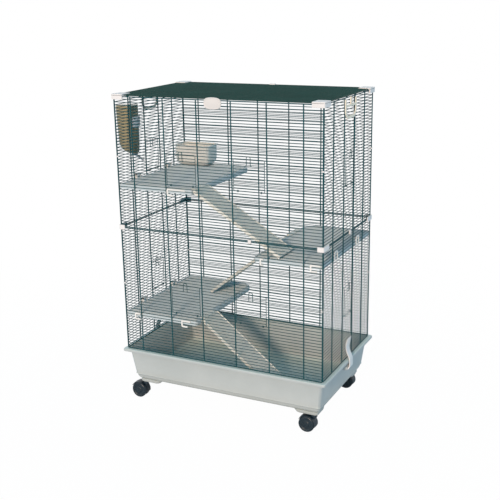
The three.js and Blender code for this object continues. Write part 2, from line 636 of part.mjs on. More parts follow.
// ---------------------------------------------------------------- bails between roof and side nets
// A bucket-shaped frame on its foot bar, drawn in X-Z with the foot bar's axis at the origin.
function bailGeometry() {
  const top = BAIL_HEIGHT - BAIL_THICKNESS / 2;
  const frame = outline([
    [-BAIL_FOOT_WIDTH / 2, 0], [BAIL_FOOT_WIDTH / 2, 0],
    [BAIL_WIDTH / 2, BAIL_SHOULDER], [BAIL_WIDTH / 2, top],
    [BAIL_WIDTH / 2 - BAIL_BAR, top], [BAIL_WIDTH / 2 - BAIL_BAR, BAIL_CROSSBAR + BAIL_BAR / 2],
    [BAIL_BAR / 2, BAIL_CROSSBAR + BAIL_BAR / 2],
    [BAIL_BAR / 3, top + BAIL_FINGER], [-BAIL_BAR / 3, top + BAIL_FINGER],
    [-BAIL_BAR / 2, BAIL_CROSSBAR + BAIL_BAR / 2],
    [-BAIL_WIDTH / 2 + BAIL_BAR, BAIL_CROSSBAR + BAIL_BAR / 2], [-BAIL_WIDTH / 2 + BAIL_BAR, top],
    [-BAIL_WIDTH / 2, top], [-BAIL_WIDTH / 2, BAIL_SHOULDER]]);
  const slot = new THREE.Path([
    [-BAIL_FOOT_WIDTH / 2 + 3, BAIL_BAR - 2], [BAIL_FOOT_WIDTH / 2 - 3, BAIL_BAR - 2],
    [BAIL_WIDTH / 2 - BAIL_BAR, BAIL_SHOULDER + 3], [BAIL_WIDTH / 2 - BAIL_BAR, BAIL_CROSSBAR - BAIL_BAR / 2],
    [-BAIL_WIDTH / 2 + BAIL_BAR, BAIL_CROSSBAR - BAIL_BAR / 2], [-BAIL_WIDTH / 2 + BAIL_BAR, BAIL_SHOULDER + 3],
  ].map(([x, y]) => new THREE.Vector2(x, y)));
  frame.holes.push(slot);
  const foot = rod(BAIL_THICKNESS / 2, BAIL_FOOT_WIDTH, 10).rotateY(Math.PI / 2)
    .translate(-BAIL_FOOT_WIDTH / 2, 0, 0);
  return joined(plateXZ(frame, BAIL_THICKNESS), foot);
}
const bailFootZ = wallTop - BAIL_DROP + BAIL_THICKNESS / 2;
const bailX = halfWidth + TOUCH_GAP + BAIL_THICKNESS / 2;
place('roof_bail_right', bailGeometry().rotateZ(Math.PI / 2), clipBeige, bailX, 0, bailFootZ);
place('roof_bail_left', bailGeometry().rotateZ(-Math.PI / 2), clipBeige, -bailX, 0, bailFootZ);

// ---------------------------------------------------------------- corner caps, clips and plate
// A cap over a top corner: two skirts outside the nets and a lid over their ends.
function capGeometry() {
  const foot = roofTop + CAP_LID - CAP_HEIGHT;
  const outerX = halfWidth + CAP_WALL;
  const outerY = halfDepth + CAP_WALL;
  const body = outline([
    [outerX - CAP_ALONG_FRONT, -outerY], [outerX - CAP_CORNER, -outerY], [outerX, -outerY + CAP_CORNER],
    [outerX, -outerY + CAP_ALONG_SIDE], [halfWidth + TOUCH_GAP, -outerY + CAP_ALONG_SIDE],
    [halfWidth + TOUCH_GAP, -halfDepth - TOUCH_GAP],
    [outerX - CAP_ALONG_FRONT, -halfDepth - TOUCH_GAP]]);
  const skirts = plateXY(body, roofTop - foot).translate(0, 0, foot);
  const lid = outline([
    [outerX - CAP_ALONG_FRONT, -outerY], [outerX - CAP_CORNER, -outerY], [outerX, -outerY + CAP_CORNER],
    [outerX, -outerY + CAP_ALONG_SIDE], [outerX - CAP_ALONG_FRONT, -outerY + CAP_ALONG_SIDE]]);
  const top = plateXY(lid, CAP_LID + roofTop - wallTop - TOUCH_GAP).translate(0, 0, wallTop + TOUCH_GAP);
  return joined(skirts, top);
}

// A clip round a corner at the joint of the two storeys.
function midClipGeometry() {
  const outerX = halfWidth + MID_CLIP_WALL;
  const outerY = halfDepth + MID_CLIP_WALL;
  const body = outline([
    [outerX - MID_CLIP_ALONG_FRONT, -outerY], [outerX - CAP_CORNER, -outerY], [outerX, -outerY + CAP_CORNER],
    [outerX, -outerY + MID_CLIP_ALONG_SIDE], [halfWidth + TOUCH_GAP, -outerY + MID_CLIP_ALONG_SIDE],
    [halfWidth + TOUCH_GAP, -halfDepth - TOUCH_GAP], [outerX - MID_CLIP_ALONG_FRONT, -halfDepth - TOUCH_GAP]]);
  return plateXY(body, MID_CLIP_HEIGHT).translate(0, 0, wireFoot + STOREY_HEIGHT - MID_CLIP_HEIGHT / 2);
}

// Copies a front-right corner piece to the corner with the given signs.
function toCorner(geometry, signX, signY) {
  if (signX * signY < 0) return signX > 0 ? geometry : geometry.rotateZ(Math.PI);
  return signX < 0 ? mirrorX(geometry) : mirrorX(geometry).rotateZ(Math.PI);
}

for (const { name, signX, signY } of castorSpots) {
  place(`roof_cap_${name}`, toCorner(capGeometry(), signX, signY), clipBeige);
  place(`mid_clip_${name}`, toCorner(midClipGeometry(), signX, signY), clipBeige);
}

// A small C clip over the two edge wires where the storeys meet.
function jointClipGeometry() {
  const half = JOINT_CLIP_HEIGHT / 2;
  const face = JOINT_CLIP_DEPTH;
  const body = outline([[0, -half], [face - 1.5, -half], [face, -half + 1.5], [face, half - 1.5],
    [face - 1.5, half], [0, half]]);
  return plateXZ(body, JOINT_CLIP_WIDTH);
}
const jointZ = wireFoot + STOREY_HEIGHT - TOUCH_GAP / 2;
place('joint_clip_front', jointClipGeometry().rotateZ(-Math.PI / 2), clipBeige,
  JOINT_CLIP_FRONT_X, -halfDepth - TOUCH_GAP, jointZ);
place('joint_clip_right', jointClipGeometry(), clipBeige, halfWidth + TOUCH_GAP, JOINT_CLIP_SIDE_Y, jointZ);

// The oval plate on the front, left bare.
function ovalPlateGeometry() {
  const oval = (shrink, y) => {
    const ring = [];
    for (let i = 0; i < 20; i++) {
      const angle = (i / 20) * 2 * Math.PI;
      const [across, up] = [Math.cos(angle), Math.sin(angle)]
        .map((v) => Math.sign(v) * Math.abs(v) ** PLATE_SQUARENESS);
      ring.push(new THREE.Vector3((PLATE_WIDTH / 2 - shrink) * across, (PLATE_HEIGHT / 2 - shrink) * up, y));
    }
    return ring;
  };
  return loft([oval(0, 0), oval(0, PLATE_THICKNESS - 1.5), oval(1.2, PLATE_THICKNESS - 0.4),
    oval(3.4, PLATE_THICKNESS), oval(4.4, PLATE_THICKNESS - 0.9)]).rotateX(Math.PI / 2);
}
place('blank_oval_plate', ovalPlateGeometry(), clipBeige, 0, -halfDepth - TOUCH_GAP,
  wallTop + PLATE_LIP - PLATE_HEIGHT / 2);

// The knuckle that the roof turns in: a C round the roof's rear wire with a tongue down the back net.
function hingeClipGeometry() {
  const eyeInner = Math.hypot(EDGE_BAR, NET_THICKNESS) / 2 + TOUCH_GAP;
  const eyeOuter = eyeInner + 2.4;
  const [start, end] = [THREE.MathUtils.degToRad(-20), THREE.MathUtils.degToRad(200)];
  const knuckle = new THREE.Shape();
  knuckle.absarc(0, 0, eyeOuter, start, end, false);
  knuckle.absarc(0, 0, eyeInner, end, start, true);
  const face = EDGE_BAR / 2 + TOUCH_GAP;
  const tongue = outline([
    [face, -24], [eyeOuter - 0.4, -24], [eyeOuter - 0.4, 0], [eyeInner + 0.4, 0], [eyeInner + 0.1, -1.5],
    [face, -3]]);
  return joined(plateXZ(knuckle, HINGE_CLIP_WIDTH, 5), plateXZ(tongue, HINGE_CLIP_WIDTH));
}
place('roof_hinge_clip', hingeClipGeometry().rotateZ(Math.PI / 2), clipBeige,
  0, halfDepth - EDGE_BAR / 2, roofFoot + NET_THICKNESS / 2);

// ---------------------------------------------------------------- shelves
// A shelf seen from above: x0 is its wall side, the far rear corner is rounded.
function shelfGeometry({ width }) {
  const depth = 2 * (innerY - SHELF_GAP);
  const shape = (inset) => {
    const edge = new THREE.Shape();
    const corner = SHELF_CORNER - inset;
    const nose = 12 - inset;
    edge.moveTo(inset, inset);
    edge.lineTo(width - inset - nose, inset);
    edge.absarc(width - inset - nose, inset + nose, nose, -Math.PI / 2, 0, false);
    edge.lineTo(width - inset, depth - inset - corner);
    edge.absarc(width - inset - corner, depth - inset - corner, corner, 0, Math.PI / 2, false);
    edge.lineTo(inset, depth - inset);
    return edge;
  };
  const shell = plateXY(shape(0), SHELF_SKIRT, 4);
  const hollow = plateXY(shape(SHELF_SKIRT_WALL), SHELF_SKIRT - SHELF_PLATE + 1, 4).translate(0, 0, -1);
  const ribs = spread(SHELF_RIBS, depth / (SHELF_RIBS + 1)).map((y) => block(
    14, width - SHELF_CORNER / 2 - 8, depth / 2 + y - SHELF_RIB_WIDTH / 2, depth / 2 + y + SHELF_RIB_WIDTH / 2,
    SHELF_SKIRT - 0.5, SHELF_SKIRT + SHELF_RIB_HEIGHT));
  const hook = (x) => {
    const outer = block(x, x + HOOK_WIDTH, -0.6, SHELF_SKIRT_WALL - 0.2, -HOOK_DROP, HOOK_HEIGHT - HOOK_DROP);
    const slot = block(x + HOOK_BAR, x + HOOK_WIDTH - HOOK_BAR, -1, 0,
      HOOK_BAR - HOOK_DROP, HOOK_HEIGHT - HOOK_DROP - HOOK_BAR);
    return cutFrom(outer, slot);
  };
  const body = cutFrom(shell, hollow);
  const hooks = [HOOK_FROM_WALL, width - HOOK_FROM_NOSE - HOOK_WIDTH].map(hook);
  return joined(body, ...ribs, ...hooks)
    .translate(0, -depth / 2, -SHELF_SKIRT);
}

const shelfSpots = [
  ['shelf_high_left', HIGH_SHELF, -1], ['shelf_middle_right', MIDDLE_SHELF, 1], ['shelf_low_left', LOW_SHELF, -1]];
for (const [name, shelf, side] of shelfSpots) {
  const geometry = side < 0 ? shelfGeometry(shelf) : mirrorX(shelfGeometry(shelf));
  place(name, geometry, shelfBeige, side * (innerX - SHELF_GAP), 0, wireFoot + shelf.top);
}

// ---------------------------------------------------------------- ramps
// A ramp as a channel of the given length along +X: plate, two edges and treads across it.
function rampGeometry(length) {
  const half = RAMP_WIDTH / 2;
  const parts = [
    block(0, length, -half, half, -RAMP_PLATE, 0),
    block(0, length, -half, -half + RAMP_EDGE_WALL, -RAMP_EDGE, 0),
    block(0, length, half - RAMP_EDGE_WALL, half, -RAMP_EDGE, 0)];
  for (const x of evenSteps(0, length, RAMP_TREADS + 1).slice(0, -1)) {
    parts.push(block(x - RAMP_TREAD_WIDTH / 2, x + RAMP_TREAD_WIDTH / 2, -half + 6, half - 6,
      -0.5, RAMP_TREAD_HEIGHT));
  }
  return joined(...parts);
}

// Sets a ramp from the edge of a shelf at (x, top) down to a floor; its tongue lies on the shelf.
function placeRamp(name, { run, y }, x, top, floor, direction) {
  const drop = top - floor - RAMP_EDGE - TOUCH_GAP;
  const slope = Math.atan2(drop, run);
  const start = RAMP_EDGE * Math.sin(slope) + 2 * TOUCH_GAP;
  const channel = rampGeometry(Math.hypot(run, drop)).rotateY(slope).translate(start, 0, 0);
  const half = RAMP_WIDTH / 2 - 10;
  const tongue = block(-RAMP_TONGUE, start + 3, -half, half, TOUCH_GAP, TOUCH_GAP + RAMP_PLATE);
  const neck = block(2 * TOUCH_GAP, start + 3, -half, half, -RAMP_PLATE, TOUCH_GAP + 1);
  const geometry = joined(channel, tongue, neck);
  if (direction < 0) geometry.rotateZ(Math.PI);
  place(name, geometry, shelfBeige, x, y - halfDepth, top);
}
const highEdge = -innerX + SHELF_GAP + HIGH_SHELF.width;
const middleEdge = innerX - SHELF_GAP - MIDDLE_SHELF.width;
const lowEdge = -innerX + SHELF_GAP + LOW_SHELF.width;
const trayFloor = trayFoot + TRAY_WALL;
placeRamp('ramp_high', HIGH_RAMP, highEdge, wireFoot + HIGH_SHELF.top,
  wireFoot + MIDDLE_SHELF.top + SHELF_RIB_HEIGHT, 1);
placeRamp('ramp_middle', MIDDLE_RAMP, middleEdge, wireFoot + MIDDLE_SHELF.top,
  wireFoot + LOW_SHELF.top + SHELF_RIB_HEIGHT, -1);
placeRamp('ramp_low', LOW_RAMP, lowEdge, wireFoot + LOW_SHELF.top, trayFloor, 1);

// ---------------------------------------------------------------- tub
function tubGeometry() {
  const halfX = TUB_WIDTH / 2;
  const halfY = TUB_DEPTH / 2;
  const ring = (inset, z, radius) => roundRing(halfX - inset, halfY - inset, radius, z, 4);
  const rings = [];
  const bowl = (skin, shares) => {
    for (const share of shares) {
      const angle = share * Math.PI / 2;
      const radius = TUB_BEND - skin;
      rings.push(ring(TUB_RIM + skin + radius * (1 - Math.sin(angle)), skin + radius * (1 - Math.cos(angle)),
        TUB_CORNER - skin));
    }
  };
  bowl(0, [0, 1 / 3, 2 / 3, 1]);
  rings.push(ring(TUB_RIM - 1, TUB_HEIGHT - 4, TUB_CORNER));
  rings.push(ring(0, TUB_HEIGHT - 4, TUB_CORNER));
  rings.push(ring(0, TUB_HEIGHT, TUB_CORNER));
  rings.push(ring(TUB_RIM + TUB_WALL - 1, TUB_HEIGHT, TUB_CORNER - TUB_WALL));
  bowl(TUB_WALL, [1, 1 / 2, 0]);
  return loft(rings);
}
const tubX = -innerX + 3 + TUB_WIDTH / 2;
const tubY = innerY - 3 - TUB_DEPTH / 2;
place('hanging_tub', tubGeometry(), clipBeige, tubX, tubY, wireFoot + HIGH_SHELF.top + SHELF_RIB_HEIGHT + TOUCH_GAP);

// ---------------------------------------------------------------- drinking bottle
const bottleX = -halfWidth - BOTTLE_GAP;
const bottleY = BOTTLE_Y - halfDepth;
const bottleZ = wireFoot + BOTTLE_TOP - BOTTLE_HEIGHT;

// The bottle hangs mouth down with its flat side to the net; its foot is drawn in towards the net.
function bottleGeometry() {
  const level = (width, depth, z) => {
    const ring = [];
    for (let i = 0; i < 16; i++) {
      const angle = (i / 16) * 2 * Math.PI;
      const squareness = 0.72;
      const c = Math.cos(angle);
      const s = Math.sin(angle);
      ring.push(new THREE.Vector3(
        -width / 2 + width / 2 * Math.sign(c) * Math.abs(c) ** squareness,
        depth / 2 * Math.sign(s) * Math.abs(s) ** squareness, z));
    }
    return ring;
  };
  const rings = [];
  const footWidth = BOTTLE_WIDTH - 6;
  const neck = 2 * BOTTLE_CAP_RADIUS + 2;
  for (const share of [0, 0.2, 0.45, 0.7, 1]) {
    const reach = Math.sin(share * Math.PI / 2);
    rings.push(level(neck + (footWidth - neck) * reach, neck + (BOTTLE_DEPTH - 6 - neck) * reach,
      BOTTLE_FOOT * (1 - Math.cos(share * Math.PI / 2))));
  }
  const waist = BOTTLE_HEIGHT - HOLDER_DROP - HOLDER_HEIGHT / 2;
  rings.push(level(footWidth + 3, BOTTLE_DEPTH - 4, waist));
  rings.push(level(BOTTLE_WIDTH, BOTTLE_DEPTH, BOTTLE_HEIGHT - 6));
  rings.push(level(BOTTLE_WIDTH - 3, BOTTLE_DEPTH - 3, BOTTLE_HEIGHT - 1.5));
  rings.push(level(BOTTLE_WIDTH - 10, BOTTLE_DEPTH - 10, BOTTLE_HEIGHT));
  const notchFoot = BOTTLE_HEIGHT - HOLDER_DROP - HOLDER_HEIGHT;
  const notch = block(-16, 5, -HOLDER_WIDTH / 2 - 1, BOTTLE_DEPTH, notchFoot, notchFoot + HOLDER_HEIGHT);
  return cutFrom(loft(rings), notch);
}
place('drinking_bottle', bottleGeometry(), bottleAmber, bottleX, bottleY, bottleZ);

// The cap closes the foot of the bottle, and its spout slants down through the net.
function spoutGeometry() {
  const cap = rod(BOTTLE_CAP_RADIUS, BOTTLE_CAP_HEIGHT, 14).translate(0, 0, -BOTTLE_CAP_HEIGHT);
  const tilt = Math.PI / 2 + THREE.MathUtils.degToRad(SPOUT_SLOPE);
  const tube = rod(SPOUT_RADIUS, SPOUT_LENGTH, 12);
  const tip = new THREE.SphereGeometry(SPOUT_RADIUS, 12, 6).translate(0, 0, SPOUT_LENGTH);
  const spout = joined(tube, tip).rotateY(tilt).translate(0, 0, -BOTTLE_CAP_HEIGHT / 2);
  return joined(cap, spout);
}
place('bottle_spout', spoutGeometry(), steel, bottleX - BOTTLE_CAP_RADIUS - 3, bottleY, bottleZ - TOUCH_GAP);

// The holder is a shallow bracket between the bottle's recess and the net.
const holderFoot = BOTTLE_HEIGHT - HOLDER_DROP - HOLDER_HEIGHT;
const holder = block(-16 + TOUCH_GAP, BOTTLE_GAP - TOUCH_GAP, -HOLDER_WIDTH / 2, HOLDER_WIDTH / 2,
  holderFoot + TOUCH_GAP, holderFoot + HOLDER_HEIGHT - TOUCH_GAP);
place('bottle_holder', holder, clipBeige, bottleX, bottleY, bottleZ);

// The frame's origin is on the floor under the middle of the whole cage, bottle included.
cage.position.x = -new THREE.Box3().setFromObject(cage, true).getCenter(new THREE.Vector3()).x;

export default cage;
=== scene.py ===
import math
import random

import bmesh
import bpy
from mathutils import Matrix, Vector


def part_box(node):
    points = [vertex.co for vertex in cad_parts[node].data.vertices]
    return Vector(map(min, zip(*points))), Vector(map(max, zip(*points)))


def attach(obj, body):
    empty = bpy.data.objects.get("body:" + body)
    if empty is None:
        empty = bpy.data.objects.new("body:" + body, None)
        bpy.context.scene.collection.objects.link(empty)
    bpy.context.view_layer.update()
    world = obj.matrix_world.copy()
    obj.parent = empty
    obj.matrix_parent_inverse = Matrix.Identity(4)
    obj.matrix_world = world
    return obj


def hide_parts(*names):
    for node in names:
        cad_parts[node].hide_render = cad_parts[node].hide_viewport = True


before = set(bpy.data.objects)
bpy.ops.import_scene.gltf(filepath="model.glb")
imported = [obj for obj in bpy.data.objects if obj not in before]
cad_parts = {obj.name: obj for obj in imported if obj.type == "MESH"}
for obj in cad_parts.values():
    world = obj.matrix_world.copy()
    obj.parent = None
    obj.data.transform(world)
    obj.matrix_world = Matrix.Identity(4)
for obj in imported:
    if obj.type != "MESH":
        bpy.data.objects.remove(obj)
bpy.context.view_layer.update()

# ---------------- studio
# A pale paper sweep under one large warm lamp from the front, with cool light all round.
# The camera stands a little to the right of the front and looks slightly down.
CAMERA_PLACE = (1.4495, -2.8441, 1.5058)
CAMERA_TURN = (73.8385, 0.9904, 26.0705)
CAMERA_LENS = 63.73
CAMERA_SHIFT = (0.0002, -0.0026)
LAMP_FROM_FRONT = 9
LAMP_HEIGHT = 21
LAMP_SPREAD = 9
LAMP_STRENGTH = 2.35
LAMP_COLOUR = (1.0, 0.80, 0.64)
AIR_STRENGTH = 0.65
AIR_COLOUR = (0.45, 0.76, 1.0, 1)
FLOOR_HALF = 9
PAPER_GLOW = 0.985
PAPER_FADE_FROM, PAPER_FADE_TO = 0.6, 2.2


def srgb(red, green, blue):
    """A colour as a colour chart gives it, 0 to 255, turned to the values that shaders use."""
    parts = [c / 255 for c in (red, green, blue)]
    return [c / 12.92 if c <= 0.04045 else ((c + 0.055) / 1.055) ** 2.4 for c in parts] + [1]


def add(tree, kind, sockets=None, **settings):
    """Adds a shader node, with its settings and the values of its sockets."""
    made = tree.nodes.new("ShaderNode" + kind)
    for setting, value in settings.items():
        setattr(made, setting, value)
    for socket, value in (sockets or {}).items():
        made.inputs[socket].default_value = value
    return made


def join(tree, *pairs):
    """Links sockets, each pair from an output to an input."""
    for source, target in pairs:
        tree.links.new(source, target)


def oblong(x_from, x_to, y_from, y_to):
    return [(x_from, y_from), (x_to, y_from), (x_to, y_to), (x_from, y_to)]


scene = bpy.context.scene
scene.view_settings.view_transform = "Standard"

camera = bpy.data.objects.new("photo_camera", bpy.data.cameras.new("photo_camera"))
camera.location = CAMERA_PLACE
camera.rotation_euler = [math.radians(a) for a in CAMERA_TURN]
camera.data.sensor_width = 36
camera.data.lens = CAMERA_LENS
camera.data.shift_x, camera.data.shift_y = CAMERA_SHIFT
scene.collection.objects.link(camera)
scene.camera = camera

lamp = bpy.data.objects.new("soft_lamp", bpy.data.lights.new("soft_lamp", "SUN"))
lamp.data.energy = LAMP_STRENGTH
lamp.data.color = LAMP_COLOUR
lamp.data.angle = math.radians(LAMP_SPREAD)
lamp.rotation_euler = (math.radians(90 - LAMP_HEIGHT), 0, math.radians(LAMP_FROM_FRONT))
scene.collection.objects.link(lamp)

world = bpy.data.worlds.new("studio_air")
world.use_nodes = True
scene.world = world
air = world.node_tree
cool_light = air.nodes["Background"]
cool_light.inputs["Color"].default_value = AIR_COLOUR
cool_light.inputs["Strength"].default_value = AIR_STRENGTH
white_paper = add(air, "Background", {"Color": (1, 1, 1, 1)})
rays = add(air, "LightPath")
seen_or_mirrored = add(air, "Math", operation="MAXIMUM")
seen_at_all = add(air, "Math", operation="MAXIMUM")
choice = add(air, "MixShader")
join(air, (rays.outputs["Is Camera Ray"], seen_or_mirrored.inputs[0]),
     (rays.outputs["Is Glossy Ray"], seen_or_mirrored.inputs[1]),
     (seen_or_mirrored.outputs[0], seen_at_all.inputs[0]),
     (rays.outputs["Is Transmission Ray"], seen_at_all.inputs[1]),
     (seen_at_all.outputs[0], choice.inputs[0]),
     (cool_light.outputs[0], choice.inputs[1]),
     (white_paper.outputs[0], choice.inputs[2]),
     (choice.outputs[0], air.nodes["World Output"].inputs[0]))

floor_mesh = bpy.data.meshes.new("paper_floor")
floor_mesh.from_pydata([(x, y, 0) for x, y in oblong(-FLOOR_HALF, FLOOR_HALF, -FLOOR_HALF, FLOOR_HALF)],
                       [], [(0, 1, 2, 3)])
floor = bpy.data.objects.new("paper_floor", floor_mesh)
scene.collection.objects.link(floor)

paper = bpy.data.materials.new("pale_paper")
paper.use_nodes = True
sheet = paper.node_tree
paper_face = sheet.nodes["Principled BSDF"]
paper_face.inputs["Base Color"].default_value = (0.88, 0.88, 0.88, 1)
paper_face.inputs["Roughness"].default_value = 0.9
paper_face.inputs["Specular IOR Level"].default_value = 0.1
glow = add(sheet, "Emission")
sheet_rays = add(sheet, "LightPath")
spot = add(sheet, "TexCoord")
reach = add(sheet, "VectorMath", operation="LENGTH")
fade = add(sheet, "MapRange", {"From Min": PAPER_FADE_FROM, "From Max": PAPER_FADE_TO,
                               "To Min": PAPER_GLOW})
seen = add(sheet, "Math", operation="MULTIPLY")
paper_mix = add(sheet, "MixShader")
join(sheet, (spot.outputs["Object"], reach.inputs[0]),
     (reach.outputs["Value"], fade.inputs["Value"]),
     (fade.outputs["Result"], seen.inputs[0]),
     (sheet_rays.outputs["Is Camera Ray"], seen.inputs[1]),
     (seen.outputs[0], paper_mix.inputs[0]),
     (paper_face.outputs[0], paper_mix.inputs[1]),
     (glow.outputs[0], paper_mix.inputs[2]),
     (paper_mix.outputs[0], sheet.nodes["Material Output"].inputs[0]))
floor_mesh.materials.append(paper)

# ---------------- tray
# The deep litter tray under the wires: one light grey polypropylene moulding with a turned-out
# rim, leaning walls, a step round its foot and a pad under each corner for a castor.
MM = 0.001
RIM_HEIGHT = 10
RIM_CORNER = 9
WALL_INSET = 18
WALL_LEAN = 16
TRAY_WALL = 3
TRAY_CORNER = 14
FOOT_BEND = 20
BAND_STEP = 1.4
BAND_HEIGHT = 26
PAD_WIDTH = 82
PAD_DEPTH = 66
PAD_DROP = 11
PAD_SLOPE = 12
PAD_CORNER = 12


def cad_box(node):
    """Lowest and highest corner of a CAD node at rest, in millimetres."""
    low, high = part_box(node)
    return low / MM, high / MM


def round_ring(half_x, half_y, radius, z, middle=(0, 0), steps=9):
    """One level of a shell: a rectangle with round corners."""
    ring = []
    for quarter, (sign_x, sign_y) in enumerate(((1, -1), (1, 1), (-1, 1), (-1, -1))):
        for i in range(steps + 1):
            angle = (quarter - 1 + i / steps) * math.pi / 2
            ring.append(Vector((middle[0] + sign_x * (half_x - radius) + radius * math.cos(angle),
                                middle[1] + sign_y * (half_y - radius) + radius * math.sin(angle), z)))
    return ring


def loft(shell, rings, looped=False):
    """Skins a pile of rings of equal counts, and closes its ends unless it is looped."""
    levels = [[shell.verts.new(p) for p in ring] for ring in rings]
    for lower, upper in zip(levels, levels[1:] + levels[:1] if looped else levels[1:]):
        for i in range(len(lower)):
            j = (i + 1) % len(lower)
            shell.faces.new((lower[i], lower[j], upper[j], upper[i]))
    if not looped:
        shell.faces.new(levels[0][::-1])
        shell.faces.new(levels[-1])


def break_edges(piece, edge, crease):
    """Rounds the sharp edges of a piece by a fraction of a millimetre or so, as a mould does."""
    broken = piece.modifiers.new("softened_edges", "BEVEL")
    broken.width = edge * MM
    broken.segments = 2
    broken.limit_method = "ANGLE"
    broken.angle_limit = math.radians(crease)
    return broken


def make_piece(name, shell, finish, body, stands_for=(), crease=35, edge=0, stand=None):
    """Makes a piece of a drawn shell, softens its edges, and sets it on its body."""
    if stand:
        bmesh.ops.transform(shell, matrix=stand, verts=shell.verts)
    bmesh.ops.recalc_face_normals(shell, faces=shell.faces)
    mesh = bpy.data.meshes.new(name)
    shell.to_mesh(mesh)
    shell.free()
    mesh.transform(Matrix.Scale(MM, 4))
    mesh.shade_smooth()
    mesh.set_sharp_from_angle(angle=math.radians(crease))
    mesh.materials.append(finish)
    piece = bpy.data.objects.new(name, mesh)
    scene.collection.objects.link(piece)
    if edge:
        break_edges(piece, edge, crease).harden_normals = True
    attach(piece, body)
    if stands_for:
        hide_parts(*stands_for)


def moulded_plastic(name, colour, cloud, roughness, dust=None, level=(0, 1),
                    grain=0.00006, speckle=700, also=None):
    """Moulded plastic: a slow drift in its colour, a fine grain in its face, dust towards its foot."""
    finish = bpy.data.materials.new(name)
    finish.use_nodes = True
    tree = finish.node_tree
    face = tree.nodes["Principled BSDF"]
    for socket, value in (also or {}).items():
        face.inputs[socket].default_value = value
    place = add(tree, "TexCoord")
    drift = add(tree, "TexNoise", {"Scale": 7, "Detail": 5, "Roughness": 0.6})
    spread_out = add(tree, "MapRange", {"From Min": 0.35, "From Max": 0.65})
    tint = add(tree, "Mix", {"A": srgb(*colour), "B": srgb(*cloud)}, data_type="RGBA")
    fine = add(tree, "TexNoise", {"Scale": speckle, "Detail": 2})
    rough = add(tree, "MapRange", {"To Min": roughness - 0.06, "To Max": roughness + 0.08})
    relief = add(tree, "Bump", {"Distance": grain})
    join(tree, (place.outputs["Object"], drift.inputs["Vector"]),
         (place.outputs["Object"], fine.inputs["Vector"]),
         (drift.outputs["Fac"], spread_out.inputs["Value"]),
         (spread_out.outputs["Result"], tint.inputs["Factor"]),
         (fine.outputs["Fac"], rough.inputs["Value"]),
         (rough.outputs["Result"], face.inputs["Roughness"]),
         (fine.outputs["Fac"], relief.inputs["Height"]),
         (relief.outputs["Normal"], face.inputs["Normal"]))
    painted = tint.outputs["Result"]
    if dust:
        heights = add(tree, "SeparateXYZ")
        settle = add(tree, "MapRange", {"From Min": level[0] * MM, "From Max": level[1] * MM,
                                        "To Min": 0.8, "To Max": 0})
        blown = add(tree, "Math", operation="MULTIPLY")
        dusted = add(tree, "Mix", {"B": srgb(*dust)}, data_type="RGBA")
        join(tree, (place.outputs["Object"], heights.inputs["Vector"]),
             (heights.outputs["Z"], settle.inputs["Value"]),
             (settle.outputs["Result"], blown.inputs[0]),
             (drift.outputs["Fac"], blown.inputs[1]),
             (blown.outputs[0], dusted.inputs["Factor"]),
             (painted, dusted.inputs["A"]))
        painted = dusted.outputs["Result"]
    tree.links.new(painted, face.inputs["Base Color"])
    return finish


tray_low, tray_high = cad_box("tray")
tray_middle = (tray_low.x + tray_high.x) / 2
rim_half_x = (tray_high.x - tray_low.x) / 2
rim_half_y = tray_high.y
rim_top = tray_high.z
tray_foot = tray_low.z + PAD_DROP
tray_height = rim_top - tray_foot


def tray_ring(inset, z, radius):
    return round_ring(rim_half_x - inset, rim_half_y - inset, radius, z, (tray_middle, 0))


def foot_bend(ring, inset, foot, bend_radius, corner, skin=0, steps=6):
    """The round between a vessel's floor and its wall: up its outer skin, or down its inner one."""
    radius = bend_radius - skin
    turns = [i / steps * math.pi / 2 for i in range(steps + 1)]
    return [ring(inset + skin + radius * (1 - math.sin(angle)),
                 foot + skin + radius * (1 - math.cos(angle)), corner - skin)
            for angle in (turns[::-1] if skin else turns)]


tray_shell = bmesh.new()
band_inset = WALL_INSET + WALL_LEAN * (1 - BAND_HEIGHT / tray_height)
rim_foot = rim_top - RIM_HEIGHT
tray_bend = (tray_ring, WALL_INSET + WALL_LEAN, tray_foot, FOOT_BEND, TRAY_CORNER)
tray_rings = foot_bend(*tray_bend)
tray_rings += [tray_ring(inset, z, radius) for inset, z, radius in (
    (band_inset - BAND_STEP, tray_foot + BAND_HEIGHT - 1, TRAY_CORNER),
    (band_inset - BAND_STEP + 0.4, tray_foot + BAND_HEIGHT, TRAY_CORNER),
    (band_inset - 0.1, tray_foot + BAND_HEIGHT + BAND_STEP, TRAY_CORNER),
    (WALL_INSET + 1, rim_foot - 6, TRAY_CORNER),
    (WALL_INSET - 1, rim_foot - 0.6, TRAY_CORNER),
    (WALL_INSET - 4, rim_foot + 0.6, TRAY_CORNER),
    (3.5, rim_foot + 0.8, RIM_CORNER),
    (1.4, rim_foot, RIM_CORNER),
    (0.3, rim_foot + 0.8, RIM_CORNER),
    (0, rim_foot + 2.2, RIM_CORNER),
    (0.4, rim_top - 2.8, RIM_CORNER),
    (1.2, rim_top - 1.2, RIM_CORNER),
    (2.8, rim_top - 0.3, RIM_CORNER),
    (4.6, rim_top, RIM_CORNER + 1),
    (WALL_INSET - 3, rim_top, TRAY_CORNER - TRAY_WALL),
    (WALL_INSET + TRAY_WALL - 2, rim_top - 0.4, TRAY_CORNER - TRAY_WALL),
    (WALL_INSET + TRAY_WALL, rim_top - 2.2, TRAY_CORNER - TRAY_WALL))]
loft(tray_shell, tray_rings + foot_bend(*tray_bend, TRAY_WALL))

